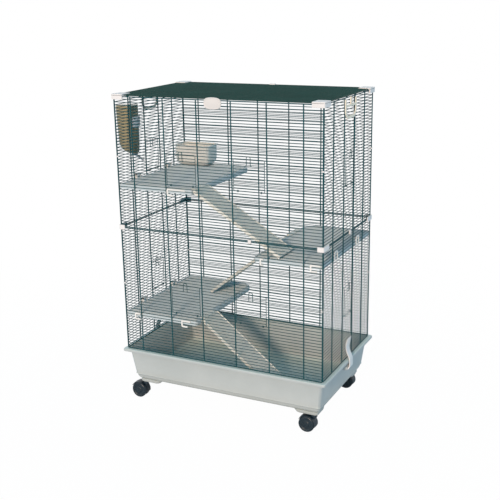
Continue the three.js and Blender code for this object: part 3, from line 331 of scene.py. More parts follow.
pad_reach = WALL_INSET + WALL_LEAN + FOOT_BEND / 2
for sign_x in (-1, 1):
    for sign_y in (-1, 1):
        levels = []
        for slope, z in ((0, tray_low.z), (1.6, tray_low.z + 1.6), (PAD_SLOPE, tray_foot + 1)):
            half_x = (PAD_WIDTH + slope) / 2
            half_y = (PAD_DEPTH + slope) / 2
            lift = 1.2 if z == tray_low.z else 0
            levels.append(round_ring(
                half_x - lift, half_y - lift, PAD_CORNER, z,
                (tray_middle + sign_x * (rim_half_x - pad_reach - half_x),
                 sign_y * (rim_half_y - pad_reach - half_y))))
        loft(tray_shell, levels)

CLAMP_PIVOT_DROP = 30
CLAMP_PIVOT_INSET = 9
CLAMP_WIDTH = 42
EAR_THICKNESS = 4
EAR_RADIUS = 7
clamp_pivot_z = rim_top - CLAMP_PIVOT_DROP
clamp_pivot_reach = rim_half_x - CLAMP_PIVOT_INSET


def bearings(first, last, step):
    """Angles in radians from one bearing up to, but not on, another."""
    return [math.radians(d) for d in range(first, last, step)]


def slab(shell, outline, foot, top, stand=Matrix()):
    """A plate of the given outline between two heights, set in place by stand."""
    loft(shell, [[stand @ Vector((x, y, z)) for x, y in outline] for z in (foot, top)])


for sign_x in (-1, 1):
    for sign_y in (-1, 1):
        wall_reach = rim_half_x - WALL_INSET - WALL_LEAN * CLAMP_PIVOT_DROP / tray_height - 1.5
        ear = [(wall_reach, clamp_pivot_z + EAR_RADIUS), (wall_reach, clamp_pivot_z - EAR_RADIUS)]
        ear += [(clamp_pivot_reach + EAR_RADIUS * math.cos(a), clamp_pivot_z + EAR_RADIUS * math.sin(a))
                for a in bearings(-90, 91, 15)]
        start = CLAMP_WIDTH / 2 + 0.3
        upright = Matrix.Translation((tray_middle, 0, 0)) @ Matrix(
            ((sign_x, 0, 0, 0), (0, 0, sign_y, 0), (0, 1, 0, 0), (0, 0, 0, 1)))
        slab(tray_shell, ear, start, start + EAR_THICKNESS, upright)

tray_grey = moulded_plastic("tray_grey", (189, 191, 188), (182, 185, 182), 0.42,
                            dust=(176, 172, 160), level=(tray_low.z - 8, tray_low.z + 60))
# painted light: what faces up, the floor inside and the top of the rim, is made paler and cooler, as though
# lit more from above
grey = tray_grey.node_tree
grey_base = grey.nodes["Principled BSDF"].inputs["Base Color"]
lie_of_face = add(grey, "TexCoord")
upward = add(grey, "SeparateXYZ")
top_light_share = add(grey, "MapRange", {"From Min": 0.3, "To Max": 0.7})
painted_top_light = add(grey, "Mix", {"B": srgb(220, 231, 222)}, data_type="RGBA")
join(grey, (lie_of_face.outputs["Normal"], upward.inputs["Vector"]),
     (upward.outputs["Z"], top_light_share.inputs["Value"]),
     (top_light_share.outputs["Result"], painted_top_light.inputs["Factor"]),
     (grey_base.links[0].from_socket, painted_top_light.inputs["A"]),
     (painted_top_light.outputs["Result"], grey_base))
make_piece("litter_tray", tray_shell, tray_grey, "cage", ["tray"], crease=50)

# ---------------- castors
# Twin-wheel furniture castors: a curved nylon hood over two dished wheels on a steel axle,
# with a collar and a stem that is pressed up into the tray's pad.
WHEEL_RADIUS = 30
WHEEL_WIDTH = 12
WEB_THICKNESS = 10
WEB_ROUND = 9
HOOD_CLEARANCE = 1.6
HOOD_WALL = 2.5
CASTOR_TRAIL = 25
COLLAR_RADIUS = 12
STEM_RADIUS = 5
HOOD_FROM, HOOD_TO = -12, 150


def full_circle(sides):
    return [2 * math.pi * i / sides for i in range(sides)]


def turned(shell, profile, stand=Matrix(), sides=40):
    """A round piece turned about Z from a closed profile of radius and height."""
    loft(shell, [[stand @ Vector((radius * math.cos(a), radius * math.sin(a), z)) for a in full_circle(sides)]
                 for radius, z in profile], looped=True)


def sweep(shell, path, section, flat=(0, 1, 0), closed=False):
    """Draws a bar of the given section along a path; flat is the normal of the path's plane."""
    rings = []
    count = len(path)
    for i, point in enumerate(path):
        before = path[i - 1] if i or closed else point
        after = path[(i + 1) % count] if i < count - 1 or closed else point
        along = (Vector(after) - Vector(before)).normalized()
        side = Vector(flat)
        side = (side - along * along.dot(side)).normalized()
        other = along.cross(side)
        rings.append([Vector(point) + a * side + b * other for a, b in section])
    loft(shell, rings, looped=closed)


def oval_section(across, up, sides=8):
    return [(across * math.cos(a), up * math.sin(a)) for a in full_circle(sides)]


def round_section(radius, sides=8):
    return oval_section(radius, radius, sides)


def bar_section(width, thickness, corner):
    """A flat bar's section: width along the normal of its path's plane, with its corners broken."""
    w, t, c = width / 2, thickness / 2, corner
    return [(w - c, -t), (w, -t + c), (w, t - c), (w - c, t),
            (-w + c, t), (-w, t - c), (-w, -t + c), (-w + c, -t)]


castor_black = moulded_plastic("castor_black", (19, 33, 42), (24, 39, 49), 0.38,
                               dust=(50, 62, 69), level=(-6, 26))
wheel_black = moulded_plastic("wheel_black", (17, 31, 39), (22, 37, 46), 0.33,
                              dust=(54, 65, 71), level=(-10, 12))
CORNERS = ["front_left", "front_right", "back_left", "back_right"]
for corner in CORNERS:
    axle_low, axle_high = cad_box(f"castor_axle_{corner}")
    axle = (axle_low + axle_high) / 2
    hood_shell = bmesh.new()
    outer = WHEEL_RADIUS + HOOD_CLEARANCE + HOOD_WALL
    hood_half = WEB_THICKNESS / 2 + WHEEL_WIDTH + 0.3
    arc = [math.radians(HOOD_FROM + (HOOD_TO - HOOD_FROM) * i / 30) for i in range(31)]
    hood_path = [axle + Vector((outer * math.cos(a), 0, outer * math.sin(a))) for a in arc]
    crown = [(hood_half * c, -1.4 * c * c) for c in (-1, -0.96, -0.7, -0.35, 0, 0.35, 0.7, 0.96, 1)]
    under = [(hood_half * c, -1.2 * c * c - HOOD_WALL) for c in (1, 0.7, 0.35, 0, -0.35, -0.7, -1)]
    sweep(hood_shell, hood_path, [(a, -b) for a, b in crown + under])
    web = [(axle.x + (outer - 1) * math.cos(a), axle.z + (outer - 1) * math.sin(a)) for a in arc]
    web += [(axle.x + WEB_ROUND * math.cos(a), axle.z + WEB_ROUND * math.sin(a))
            for a in bearings(180, 361, 15)]
    standing = Matrix(((1, 0, 0, 0), (0, 0, 1, axle.y), (0, 1, 0, 0), (0, 0, 0, 1)))
    slab(hood_shell, web, -WEB_THICKNESS / 2, WEB_THICKNESS / 2, standing)
    swivel = Vector((axle.x + CASTOR_TRAIL, axle.y, 0))
    neck_foot = WHEEL_RADIUS + math.sqrt(outer ** 2 - CASTOR_TRAIL ** 2) - 3
    collar_foot = WHEEL_RADIUS + outer - 5
    collar_top = tray_low.z - 0.3
    turned(hood_shell, [(0.01, neck_foot), (STEM_RADIUS, neck_foot), (STEM_RADIUS, collar_foot),
                        (COLLAR_RADIUS - 1, collar_foot), (COLLAR_RADIUS, collar_foot + 3),
                        (COLLAR_RADIUS, collar_top - 0.8), (COLLAR_RADIUS - 0.8, collar_top),
                        (STEM_RADIUS, collar_top), (STEM_RADIUS, collar_top + 7), (0.01, collar_top + 7.4)],
           Matrix.Translation(swivel))
    make_piece(f"castor_hood_{corner}", hood_shell, castor_black, f"castor_{corner}",
               [f"castor_fork_{corner}"], edge=0.5)

    for wheel, outward in (("a", -1), ("b", 1)):
        wheel_shell = bmesh.new()
        r, w = WHEEL_RADIUS, WHEEL_WIDTH
        profile = [(3.4, 1), (r - 4, 0.6), (r - 1.2, 1.2), (r - 0.3, 2.2), (r, 3.6), (r, w - 4.4),
                   (r - 0.4, w - 2.6), (r - 1.6, w - 1), (r - 3.4, w - 0.2), (r - 5, w), (22, w - 0.2),
                   (21, w - 0.9), (20.4, w - 2.2), (19.5, w - 2.6), (11, w - 2.2), (10, w - 1.6),
                   (9.4, w - 0.2), (8.4, w + 0.2), (4, w + 0.6), (0.01, w + 0.7), (0.01, 1)]
        stand = (Matrix.Translation(axle + Vector((0, outward * (WEB_THICKNESS / 2 + 0.3), 0)))
                 @ Matrix.Rotation(-outward * math.pi / 2, 4, "X"))
        turned(wheel_shell, profile, stand, 48)
        make_piece(f"castor_tyre_{corner}_{wheel}", wheel_shell, wheel_black, f"wheel_{corner}_{wheel}",
                   [f"castor_wheel_{corner}_{wheel}"], crease=42)

axle_steel = moulded_plastic("axle_steel", (150, 156, 162), (138, 144, 150), 0.3, also={"Metallic": 1})
for corner in CORNERS:
    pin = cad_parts[f"castor_axle_{corner}"]
    pin.data.materials.clear()
    pin.data.materials.append(axle_steel)

# ---------------- wire nets
# Eight upright nets of drawn steel wire, welded where the wires cross and dipped in dark green
# powder coat: close level wires inside, stouter uprights outside, and a frame wire round each.
ROWS_PER_STOREY = 44
SILL_ROW, LINTEL_ROW = 16, 26
LEVEL_WIRE = 2.5
UPRIGHT_WIRE = 4.4
FRAME_WIRE = 3.8
HINGE_WIRE = 2.6
FRAME_INSET = 2.1
LEVEL_WIRE_DEPTH = 1.0
UPRIGHT_DEPTH = -0.2
FRONT_UPRIGHT_PITCH = 131
SIDE_UPRIGHT_PITCH = 100.6
random.seed(31)

front_low, front_high = cad_box("front_net_lower")
side_low, side_high = cad_box("right_net_lower")
net_depth = front_high.y - front_low.y
net_height = front_high.z - front_low.z
storey_rise = cad_box("front_net_upper")[0].z - front_low.z
cage_middle = (front_low.x + front_high.x) / 2
cage_half_width = (front_high.x - front_low.x) / 2
cage_half_depth = -front_low.y
row_pitch = storey_rise / ROWS_PER_STOREY


def spread(count, pitch):
    return [(i - (count - 1) / 2) * pitch for i in range(count)]


def bend(corners, radius, closed=False, steps=4):
    """Rounds the corners of a path, as a wire is bent round a pin."""
    path = []
    for i, corner in enumerate(corners):
        corner = Vector(corner)
        if not closed and i in (0, len(corners) - 1):
            path.append(corner)
            continue
        before = Vector(corners[i - 1]) - corner
        after = Vector(corners[(i + 1) % len(corners)]) - corner
        start = corner + before.normalized() * min(radius, before.length * 0.45)
        end = corner + after.normalized() * min(radius, after.length * 0.45)
        for k in range(steps + 1):
            t = k / steps
            path.append((1 - t) ** 2 * start + 2 * t * (1 - t) * corner + t * t * end)
    return path


def green_wire(name, colour, cloud):
    """Dark green powder coat: satin, with the faint orange-peel of a dipped coat."""
    return moulded_plastic(name, colour, cloud, 0.5, grain=0.00012, speckle=420,
                           also={"Specular IOR Level": 0.15})


def on_wall(turn, distance, foot, along=0):
    """Where a shell drawn face on goes: into one of the walls, at a height and a way along it."""
    return (Matrix.Translation((cage_middle, 0, foot)) @ Matrix.Rotation(math.radians(turn), 4, "Z")
            @ Matrix.Translation((along, net_depth / 2 - distance, 0)))


# painted light: the walls' copy of the powder coat is lighter and bluer than the roof's copy of the same
# coat, for the light on the walls
lit_coat_green = green_wire("lit_coat_green", (26, 72, 76), (33, 82, 87))
long_uprights = spread(6, FRONT_UPRIGHT_PITCH)
side_uprights = spread(4, SIDE_UPRIGHT_PITCH)
side_half = (side_high.y - side_low.y) / 2
# each wall's turn about Z, its distance out, half its width, its uprights and its doors' first uprights
walls = {
    "front": (0, cage_half_depth, cage_half_width, long_uprights, (1, 3)),
    "back": (180, cage_half_depth, cage_half_width, long_uprights, ()),
    "right": (90, cage_half_width, side_half, side_uprights, (1,)),
    "left": (-90, cage_half_width, side_half, side_uprights, (1,)),
}
storeys = {"lower": front_low.z, "upper": front_low.z + storey_rise}
level_section = round_section(LEVEL_WIRE / 2)
upright_section = round_section(UPRIGHT_WIRE / 2, 10)
frame_section = round_section(FRAME_WIRE / 2, 10)
hinge_section = round_section(HINGE_WIRE / 2, 10)

for wall, (turn, distance, half, uprights, door_columns) in walls.items():
    for storey, foot in storeys.items():
        net = bmesh.new()
        low, high = FRAME_INSET, net_height - FRAME_INSET
        for row in range(1, ROWS_PER_STOREY):
            z = row * row_pitch + random.uniform(-0.25, 0.25)
            cuts = [-half + FRAME_INSET]
            if SILL_ROW <= row <= LINTEL_ROW:
                for column in door_columns:
                    cuts += [uprights[column], uprights[column + 1]]
            cuts.append(half - FRAME_INSET)
            for start, end in zip(cuts[::2], cuts[1::2]):
                sag = random.uniform(-0.3, 0.3)
                wire = ((start, z), ((start + end) / 2, z + sag), (end, z))
                sweep(net, [(x, LEVEL_WIRE_DEPTH, level) for x, level in wire], level_section)
        for upright in uprights:
            lean = random.uniform(-0.4, 0.4)
            sweep(net, [(upright - lean, UPRIGHT_DEPTH, low), (upright + lean, UPRIGHT_DEPTH, high)],
                  upright_section)
        for column in door_columns:
            for row in (SILL_ROW, LINTEL_ROW):
                z = row * row_pitch
                sweep(net, [(uprights[column], 0, z), (uprights[column + 1], 0, z)], hinge_section)
        edge_x = half - FRAME_INSET
        frame_path = bend([(x, 0, z) for x, z in oblong(-edge_x, edge_x, low, high)], 4, closed=True)
        sweep(net, frame_path, frame_section, closed=True)
        make_piece(f"{wall}_wires_{storey}", net, lit_coat_green, "cage", [f"{wall}_net_{storey}"],
                   crease=60, stand=on_wall(turn, distance, foot))

# ---------------- doors
# Small drop doors of the same wire: each hangs by two coiled eyes on the thick sill wire of its
# doorway and is shut by a bent wire latch that hooks over the lintel.
DOOR_SILL = 173
DOOR_TOP = 112
DOOR_PLAY = 5
DOOR_FACE = -3.5
DOOR_FRAME_WIRE = 2.2
EYE_RADIUS = 3.1
EYE_INSET = 14
LATCH_HALF = 7.3
LATCH_FACE = -5.6
LATCH_CROWN = 119.5
LATCH_TAIL = 88
LATCH_FOOT = 5
LATCH_WIRE = 2.4
EYE_WIRE = 1.6

doors = [(f"front_door_{storey}_{side}", 0, cage_half_depth, long_uprights[column:column + 2], foot)
         for storey, foot in storeys.items() for side, column in (("left", 1), ("right", 3))]
doors += [(f"{side}_door_{storey}", turn, cage_half_width, side_uprights[1:3], foot)
          for storey, foot in storeys.items() for side, turn in (("right", 90), ("left", -90))]
for door, turn, distance, (post_a, post_b), foot in doors:
    leaf = bmesh.new()
    half = (post_b - post_a) / 2 - DOOR_PLAY - 2.6
    edge_path = bend([(x, DOOR_FACE, z) for x, z in oblong(-half, half, 1.4, DOOR_TOP - 1.3)], 5, closed=True)
    sweep(leaf, edge_path, round_section(DOOR_FRAME_WIRE / 2, 10), closed=True)
    for row in range(SILL_ROW + 1, LINTEL_ROW):
        z = row * row_pitch - DOOR_SILL + random.uniform(-0.2, 0.2)
        sweep(leaf, [(-half, DOOR_FACE + 0.7, z), (half, DOOR_FACE + 0.7, z)], level_section)
    for sign in (-1, 1):
        for coil in (-1.3, 1.3):
            x = sign * (half - EYE_INSET) + coil
            ring = [(x, EYE_RADIUS * math.cos(a), EYE_RADIUS * math.sin(a)) for a in full_circle(16)]
            sweep(leaf, ring, round_section(EYE_WIRE / 2), (1, 0, 0), closed=True)
    latch = [(-LATCH_HALF - LATCH_FOOT, LATCH_FACE + 0.6, LATCH_TAIL), (-LATCH_HALF, LATCH_FACE, LATCH_TAIL),
             (-LATCH_HALF, LATCH_FACE, LATCH_CROWN), (LATCH_HALF, LATCH_FACE, LATCH_CROWN),
             (LATCH_HALF, LATCH_FACE, LATCH_TAIL), (LATCH_HALF + LATCH_FOOT, LATCH_FACE + 0.6, LATCH_TAIL)]
    sweep(leaf, bend(latch, 6), round_section(LATCH_WIRE / 2))
    make_piece(f"{door}_wires", leaf, lit_coat_green, door, [door], crease=60,
               stand=on_wall(turn, distance, foot + DOOR_SILL, (post_a + post_b) / 2))

# ---------------- roof
# The lid: one more welded net, hinged on its rear wire. Its close wires run along the cage and
# stouter ones cross under them; its corners are cut back round the caps.
ROOF_EDGE_WIRE = 3.6
ROOF_WIRE = 2.9
ROOF_CROSS_WIRE = 2.6
NOTCH_ALONG_FRONT = 40.3
NOTCH_ALONG_SIDE = 48.3

roof_low, roof_high = cad_box("roof_net")
roof_z = (roof_low.z + roof_high.z) / 2
roof_net = bmesh.new()
edge_x = cage_half_width - FRAME_INSET
edge_y = cage_half_depth - FRAME_INSET
notch_x = cage_half_width - NOTCH_ALONG_FRONT - FRAME_INSET
notch_y = cage_half_depth - NOTCH_ALONG_SIDE - FRAME_INSET
rows = int(2 * cage_half_depth / row_pitch)
for row in range(1, rows):
    y = (row - rows / 2) * (2 * edge_y / rows)
    reach_x = edge_x if abs(y) < notch_y else notch_x
    sag = random.uniform(-0.25, 0.25)
    sweep(roof_net, [(-reach_x, y, roof_z + 0.3), (0, y, roof_z + 0.3 + sag), (reach_x, y, roof_z + 0.3)],
          round_section(ROOF_WIRE / 2), (0, 0, 1))
for x in long_uprights:
    sweep(roof_net, [(x, -edge_y, roof_z - 0.2), (x, edge_y, roof_z - 0.2)],
          round_section(ROOF_CROSS_WIRE / 2), (0, 0, 1))
rim = []
for sign_x, sign_y in ((1, -1), (1, 1), (-1, 1), (-1, -1)):
    step = [(sign_x * notch_x, sign_y * edge_y, roof_z), (sign_x * notch_x, sign_y * notch_y, roof_z),
            (sign_x * edge_x, sign_y * notch_y, roof_z)]
    rim += step if sign_x * sign_y < 0 else step[::-1]
sweep(roof_net, bend(rim, 3, closed=True, steps=3), round_section(ROOF_EDGE_WIRE / 2), (0, 0, 1), closed=True)
# painted shade: the roof's copy of the powder coat is darker than the walls' copy of the same coat, for the
# shade on the roof
shaded_roof_green = green_wire("shaded_roof_green", (22, 56, 52), (27, 63, 59))
make_piece("roof_wires", roof_net, shaded_roof_green, "roof", ["roof_net"], crease=60,
           stand=Matrix.Translation((cage_middle, 0, 0)))

# ---------------- corner caps and clips
# Cream polypropylene fittings that are pushed over the corners of the nets: a cap with a lid at
# each top corner and an angled clip where the storeys meet.
CAP_WALL = 5
CAP_ALONG_FRONT = 45
CAP_ALONG_SIDE = 53
CAP_CORNER = 4
CLIP_WALL = 4
CLIP_ALONG_FRONT = 24
CLIP_ALONG_SIDE = 49

clip_cream = moulded_plastic("clip_cream", (243, 233, 227), (236, 226, 220), 0.45, speckle=900)


def corner_outline(wall, along_front, along_side, filled=False):
    """The front right corner from above: an angle round the nets, or the whole corner if filled."""
    out_x, out_y = cage_half_width + wall, cage_half_depth + wall
    in_x, in_y = cage_half_width + 0.4, cage_half_depth + 0.4
    outline = [(out_x - along_front, -out_y)]
    outline += [(out_x - CAP_CORNER + CAP_CORNER * math.sin(a),
                 -out_y + CAP_CORNER - CAP_CORNER * math.cos(a)) for a in bearings(0, 91, 30)]
    outline.append((out_x, -out_y + along_side))
    if filled:
        return outline + [(out_x - along_front, -out_y + along_side)]
    return outline + [(in_x, -out_y + along_side), (in_x, -in_y), (out_x - along_front, -in_y)]


def corner_signs(corner):
    """Which way a corner lies: 1 for right and for back, -1 for left and for front."""
    return 1 if corner.endswith("right") else -1, 1 if corner.startswith("back") else -1


for corner in CORNERS:
    sign_x, sign_y = corner_signs(corner)
    mirror = Matrix.Translation((cage_middle, 0, 0)) @ Matrix.Diagonal((sign_x, -sign_y, 1, 1))
    cap_low, cap_high = cad_box(f"roof_cap_{corner}")
    cap = bmesh.new()
    slab(cap, corner_outline(CAP_WALL, CAP_ALONG_FRONT, CAP_ALONG_SIDE), cap_low.z, roof_low.z + 2.2, mirror)
    slab(cap, corner_outline(CAP_WALL, CAP_ALONG_FRONT, CAP_ALONG_SIDE, filled=True),
         roof_low.z - 0.8, cap_high.z, mirror)
    make_piece(f"top_cap_{corner}", cap, clip_cream, "cage", [f"roof_cap_{corner}"], edge=1.0)

    clip_low, clip_high = cad_box(f"mid_clip_{corner}")
    clip = bmesh.new()
    slab(clip, corner_outline(CLIP_WALL, CLIP_ALONG_FRONT, CLIP_ALONG_SIDE), clip_low.z, clip_high.z, mirror)
    make_piece(f"storey_clip_{corner}", clip, clip_cream, "cage", [f"mid_clip_{corner}"], edge=1.0)

# ---------------- small clips
# Little spring clips of the same plastic: over the joint of the storeys, and low on the corner
# wires of each storey, where they lock one net to the next.
EDGE_CLIP_HEIGHT = 5
EDGE_CLIP_RISE = 258
EDGE_CLIP_HALF = 5.2
EDGE_CLIP_INSET = 3.2


def softened(node, finish, edge):
    """Keeps a CAD piece whose shape is right, with its edges broken and its own finish."""
    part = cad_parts[node]
    part.data.materials.clear()
    part.data.materials.append(finish)
    welded = part.modifiers.new("welded", "WELD")
    welded.merge_threshold = 0.00001
    break_edges(part, edge, 35)


for node in ("joint_clip_front", "joint_clip_right", "roof_hinge_clip"):
    softened(node, clip_cream, 0.6)

for storey, foot in storeys.items():
    for corner in CORNERS:
        sign_x, sign_y = corner_signs(corner)
        middle = (cage_middle + sign_x * (cage_half_width - EDGE_CLIP_INSET),
                  sign_y * (cage_half_depth - EDGE_CLIP_INSET))
        clip = bmesh.new()
        loft(clip, [round_ring(EDGE_CLIP_HALF - inset, EDGE_CLIP_HALF - inset, 3,
                               foot + EDGE_CLIP_RISE + level, middle, 3)
                    for inset, level in ((1, 0), (0, 0.8), (0, EDGE_CLIP_HEIGHT - 0.8),
                                         (1, EDGE_CLIP_HEIGHT))])
        make_piece(f"edge_clip_{storey}_{corner}", clip, clip_cream, "cage")

# ---------------- front plate
# A bare oval plate of the cream plastic, clipped to the front wires under the roof's edge: a
# gently crowned face inside a raised border.
PLATE_SQUARENESS = 0.7

plate_low, plate_high = cad_box("blank_oval_plate")
plate_middle = (plate_low + plate_high) / 2
half_x = (plate_high.x - plate_low.x) / 2
half_z = (plate_high.z - plate_low.z) / 2
plate = bmesh.new()
levels = [(0.8, 0), (0, 0.8), (0, 2.4), (0.5, 3.3), (1.5, 3.9), (2.6, 4), (3.4, 3.6), (4, 2.9), (5.5, 2.8)]
levels += [(5.5 + (half_z - 6) * i / 6, 2.8 + 0.8 * math.sin(i / 6 * math.pi / 2)) for i in range(1, 7)]
around = [[math.copysign(abs(v) ** PLATE_SQUARENESS, v) for v in (math.cos(a), math.sin(a))]
          for a in full_circle(72)]
loft(plate, [[Vector((plate_middle.x + (half_x - inset) * across, plate_high.y - depth,
                      plate_middle.z + (half_z - inset) * up)) for across, up in around]
             for inset, depth in levels])
plate_cream = moulded_plastic("plate_cream", (228, 218, 211), (222, 212, 205), 0.45, speckle=900)
make_piece("bare_oval_plate", plate, plate_cream, "cage", ["blank_oval_plate"], crease=40)

# ---------------- roof bails
# Snap handles of cream plastic on the two end nets: a bucket-shaped frame on a foot bar, with a
# cross bar and a thumb tab, swung up over the roof's edge wire.
BAIL_HALF = 50.2
BAIL_SHOULDER = 19
BAIL_TOP = 65
BAIL_CROSS = 42
BAIL_TAB = 70
BAIL_FOOT_HALF = 37
BAIL_THICKNESS = 4
bail_cream = moulded_plastic("bail_cream", (255, 238, 214), (249, 231, 208), 0.45, speckle=900)

for side, turn in (("right", 90), ("left", -90)):
    bail_low, bail_high = cad_box(f"roof_bail_{side}")
    bail = bmesh.new()
    frame_path = [(-BAIL_HALF, 0, BAIL_TOP), (-BAIL_HALF, 0, BAIL_SHOULDER), (-BAIL_FOOT_HALF + 3, 0, 3.2),
                  (BAIL_FOOT_HALF - 3, 0, 3.2), (BAIL_HALF, 0, BAIL_SHOULDER), (BAIL_HALF, 0, BAIL_TOP)]
    sweep(bail, bend(frame_path, 9, steps=5), bar_section(BAIL_THICKNESS, 9.4, 1.1))
    sweep(bail, [(-BAIL_HALF, 0, BAIL_CROSS), (BAIL_HALF, 0, BAIL_CROSS)],
          bar_section(BAIL_THICKNESS - 0.6, 8, 1))
    tab = [(-4.5, BAIL_CROSS), (4.5, BAIL_CROSS), (2.6, BAIL_TAB - 2), (1.4, BAIL_TAB), (-1.4, BAIL_TAB),
           (-2.6, BAIL_TAB - 2)]
    slab(bail, tab, -BAIL_THICKNESS / 2 + 0.2, BAIL_THICKNESS / 2 - 0.2,
         Matrix(((1, 0, 0, 0), (0, 0, -1, 0), (0, 1, 0, 0), (0, 0, 0, 1))))
    sweep(bail, [(-BAIL_FOOT_HALF, 0, 0), (BAIL_FOOT_HALF, 0, 0)], round_section(BAIL_THICKNESS / 2, 12))
    stand = (Matrix.Translation(((bail_low.x + bail_high.x) / 2, 0, bail_low.z + BAIL_THICKNESS / 2))
             @ Matrix.Rotation(math.radians(turn), 4, "Z"))
    make_piece(f"snap_handle_{side}", bail, bail_cream, f"bail_{side}", [f"roof_bail_{side}"],
               crease=40, stand=stand)

# ---------------- tray clamps
# Sprung blades of milky plastic on the two ends of the tray: each turns on a pin between two ears,
# passes the rim with a slight waist, presses on the wires and ends in a ribbed, curled finger tab.
CLAMP_THICKNESS = 3.2
CLAMP_WAIST = 5
CLAMP_GRIPS = (57, 63, 69, 75)
CLAMP_BARREL = 5
CLAMP_PIN = 2.6
blade_path = [(clamp_pivot_reach, -30), (rim_half_x - 1, -35), (rim_half_x + 3, -24), (rim_half_x + 3, -8),
              (rim_half_x + 2, 6), (cage_half_width + 8, 22), (cage_half_width + 2.6, 38),
              (cage_half_width + 2.6, 54), (cage_half_width + 5, 70), (cage_half_width + 9, 80)]
clamp_milky = moulded_plastic("clamp_milky", (242, 236, 231), (235, 229, 225), 0.28)

for side, sign in (("right", 1), ("left", -1)):
    clamp = bmesh.new()
    half = CLAMP_WIDTH / 2
    blade = bend([(x, 0, rim_top + z) for x, z in blade_path], 9, steps=5)
    rings = []
    for i, point in enumerate(blade):
        along = (blade[min(i + 1, len(blade) - 1)] - blade[max(i - 1, 0)]).normalized()
        out = along.cross(Vector((0, 1, 0)))
        above = point.z - rim_top
        waist = CLAMP_WAIST * min(1, max(0, (above + 32) / 10)) * min(1, max(0, (56 - above) / 12))
        rings.append([point + Vector((0, a * (half - waist) / half, 0)) + out * b
                      for a, b in bar_section(CLAMP_WIDTH, CLAMP_THICKNESS, 0.8)])
    loft(clamp, rings)
    for rise in CLAMP_GRIPS:
        at = next(i for i, point in enumerate(blade) if point.z - rim_top >= rise)
        share = (rim_top + rise - blade[at - 1].z) / (blade[at].z - blade[at - 1].z)
        grip = blade[at - 1].lerp(blade[at], share) + Vector((CLAMP_THICKNESS / 2, 0, 0))
        reach = Vector((0, half - 2, 0))
        sweep(clamp, [grip - reach, grip + reach], round_section(1.5), (1, 0, 0))
    across = Matrix.Translation((clamp_pivot_reach, 0, clamp_pivot_z)) @ Matrix.Rotation(math.pi / 2, 4, "X")
    turned(clamp, [(0.01, -half), (CLAMP_BARREL - 0.6, -half), (CLAMP_BARREL, -half + 0.6),
                   (CLAMP_BARREL, half - 0.6), (CLAMP_BARREL - 0.6, half), (0.01, half)], across, 24)
    half += EAR_THICKNESS
    turned(clamp, [(0.01, -half), (CLAMP_PIN, -half), (CLAMP_PIN, half), (0.01, half)], across, 18)
    make_piece(f"clamp_blade_{side}", clamp, clamp_milky, f"clamp_{side}", [f"tray_clamp_{side}"],
               crease=40, stand=Matrix.Translation((cage_middle, 0, 0)) @ Matrix.Diagonal((sign, 1, 1, 1)))

# ---------------- shelves
# Three beige moulded shelves, each a plate with fine grip ribs, a turned-down skirt and a round
# rear corner. Cream hooks go over the level wires: low ones in front, taller ones at the side.
SHELF_SKIRT = 16
SHELF_CORNER = 55
SHELF_NOSE = 12
SHELF_WALL = 2.5
SHELF_PLATE = 3
RIB_TOP = 1.2
RIB_PITCH = 8.6
HOOK_BAR = 6
HOOK_THICKNESS = 3.4
HOOK_STAND_OFF = 2.4
HOOK_DROP = 12
SIDE_HOOK_BAR = 5.2
SIDE_HOOK_HALF = 14
SIDE_HOOK_CHEEK = 3
SIDE_HOOK_RISE = 18
# painted shade: the shelves' beige plastic is given the cool blue-grey that it shows in shade
shelf_shade_grey = moulded_plastic("shelf_shade_grey", (199, 206, 207), (190, 198, 200), 0.46,
                              grain=0.0001, speckle=500)
hook_cream = moulded_plastic("hook_cream", (246, 238, 230), (238, 230, 222), 0.42)
# where each shelf's hooks sit along the front wires, from the left corner, and their widths
hooks_along_front = {
    "shelf_high_left": ((203, 74),),
    "shelf_middle_right": ((562, 13), (747, 38)),
    "shelf_low_left": ((40, 24), (241, 38)),
}


def shelf_outline(width, half_depth, inset):
    """A shelf from above: its wall side at 0, its far rear corner round, its far front corner nosed."""
    far, back = width - inset, half_depth - inset
    corners = ((inset + 2, -back + 2, 2, 180), (far - SHELF_NOSE, -back + SHELF_NOSE, SHELF_NOSE, 270),
               (far - SHELF_CORNER, back - SHELF_CORNER, SHELF_CORNER, 0), (inset + 2, back - 2, 2, 90))
    return [(x + radius * math.cos(a), y + radius * math.sin(a)) for x, y, radius, first in corners
            for a in bearings(first, first + 91, 9)]


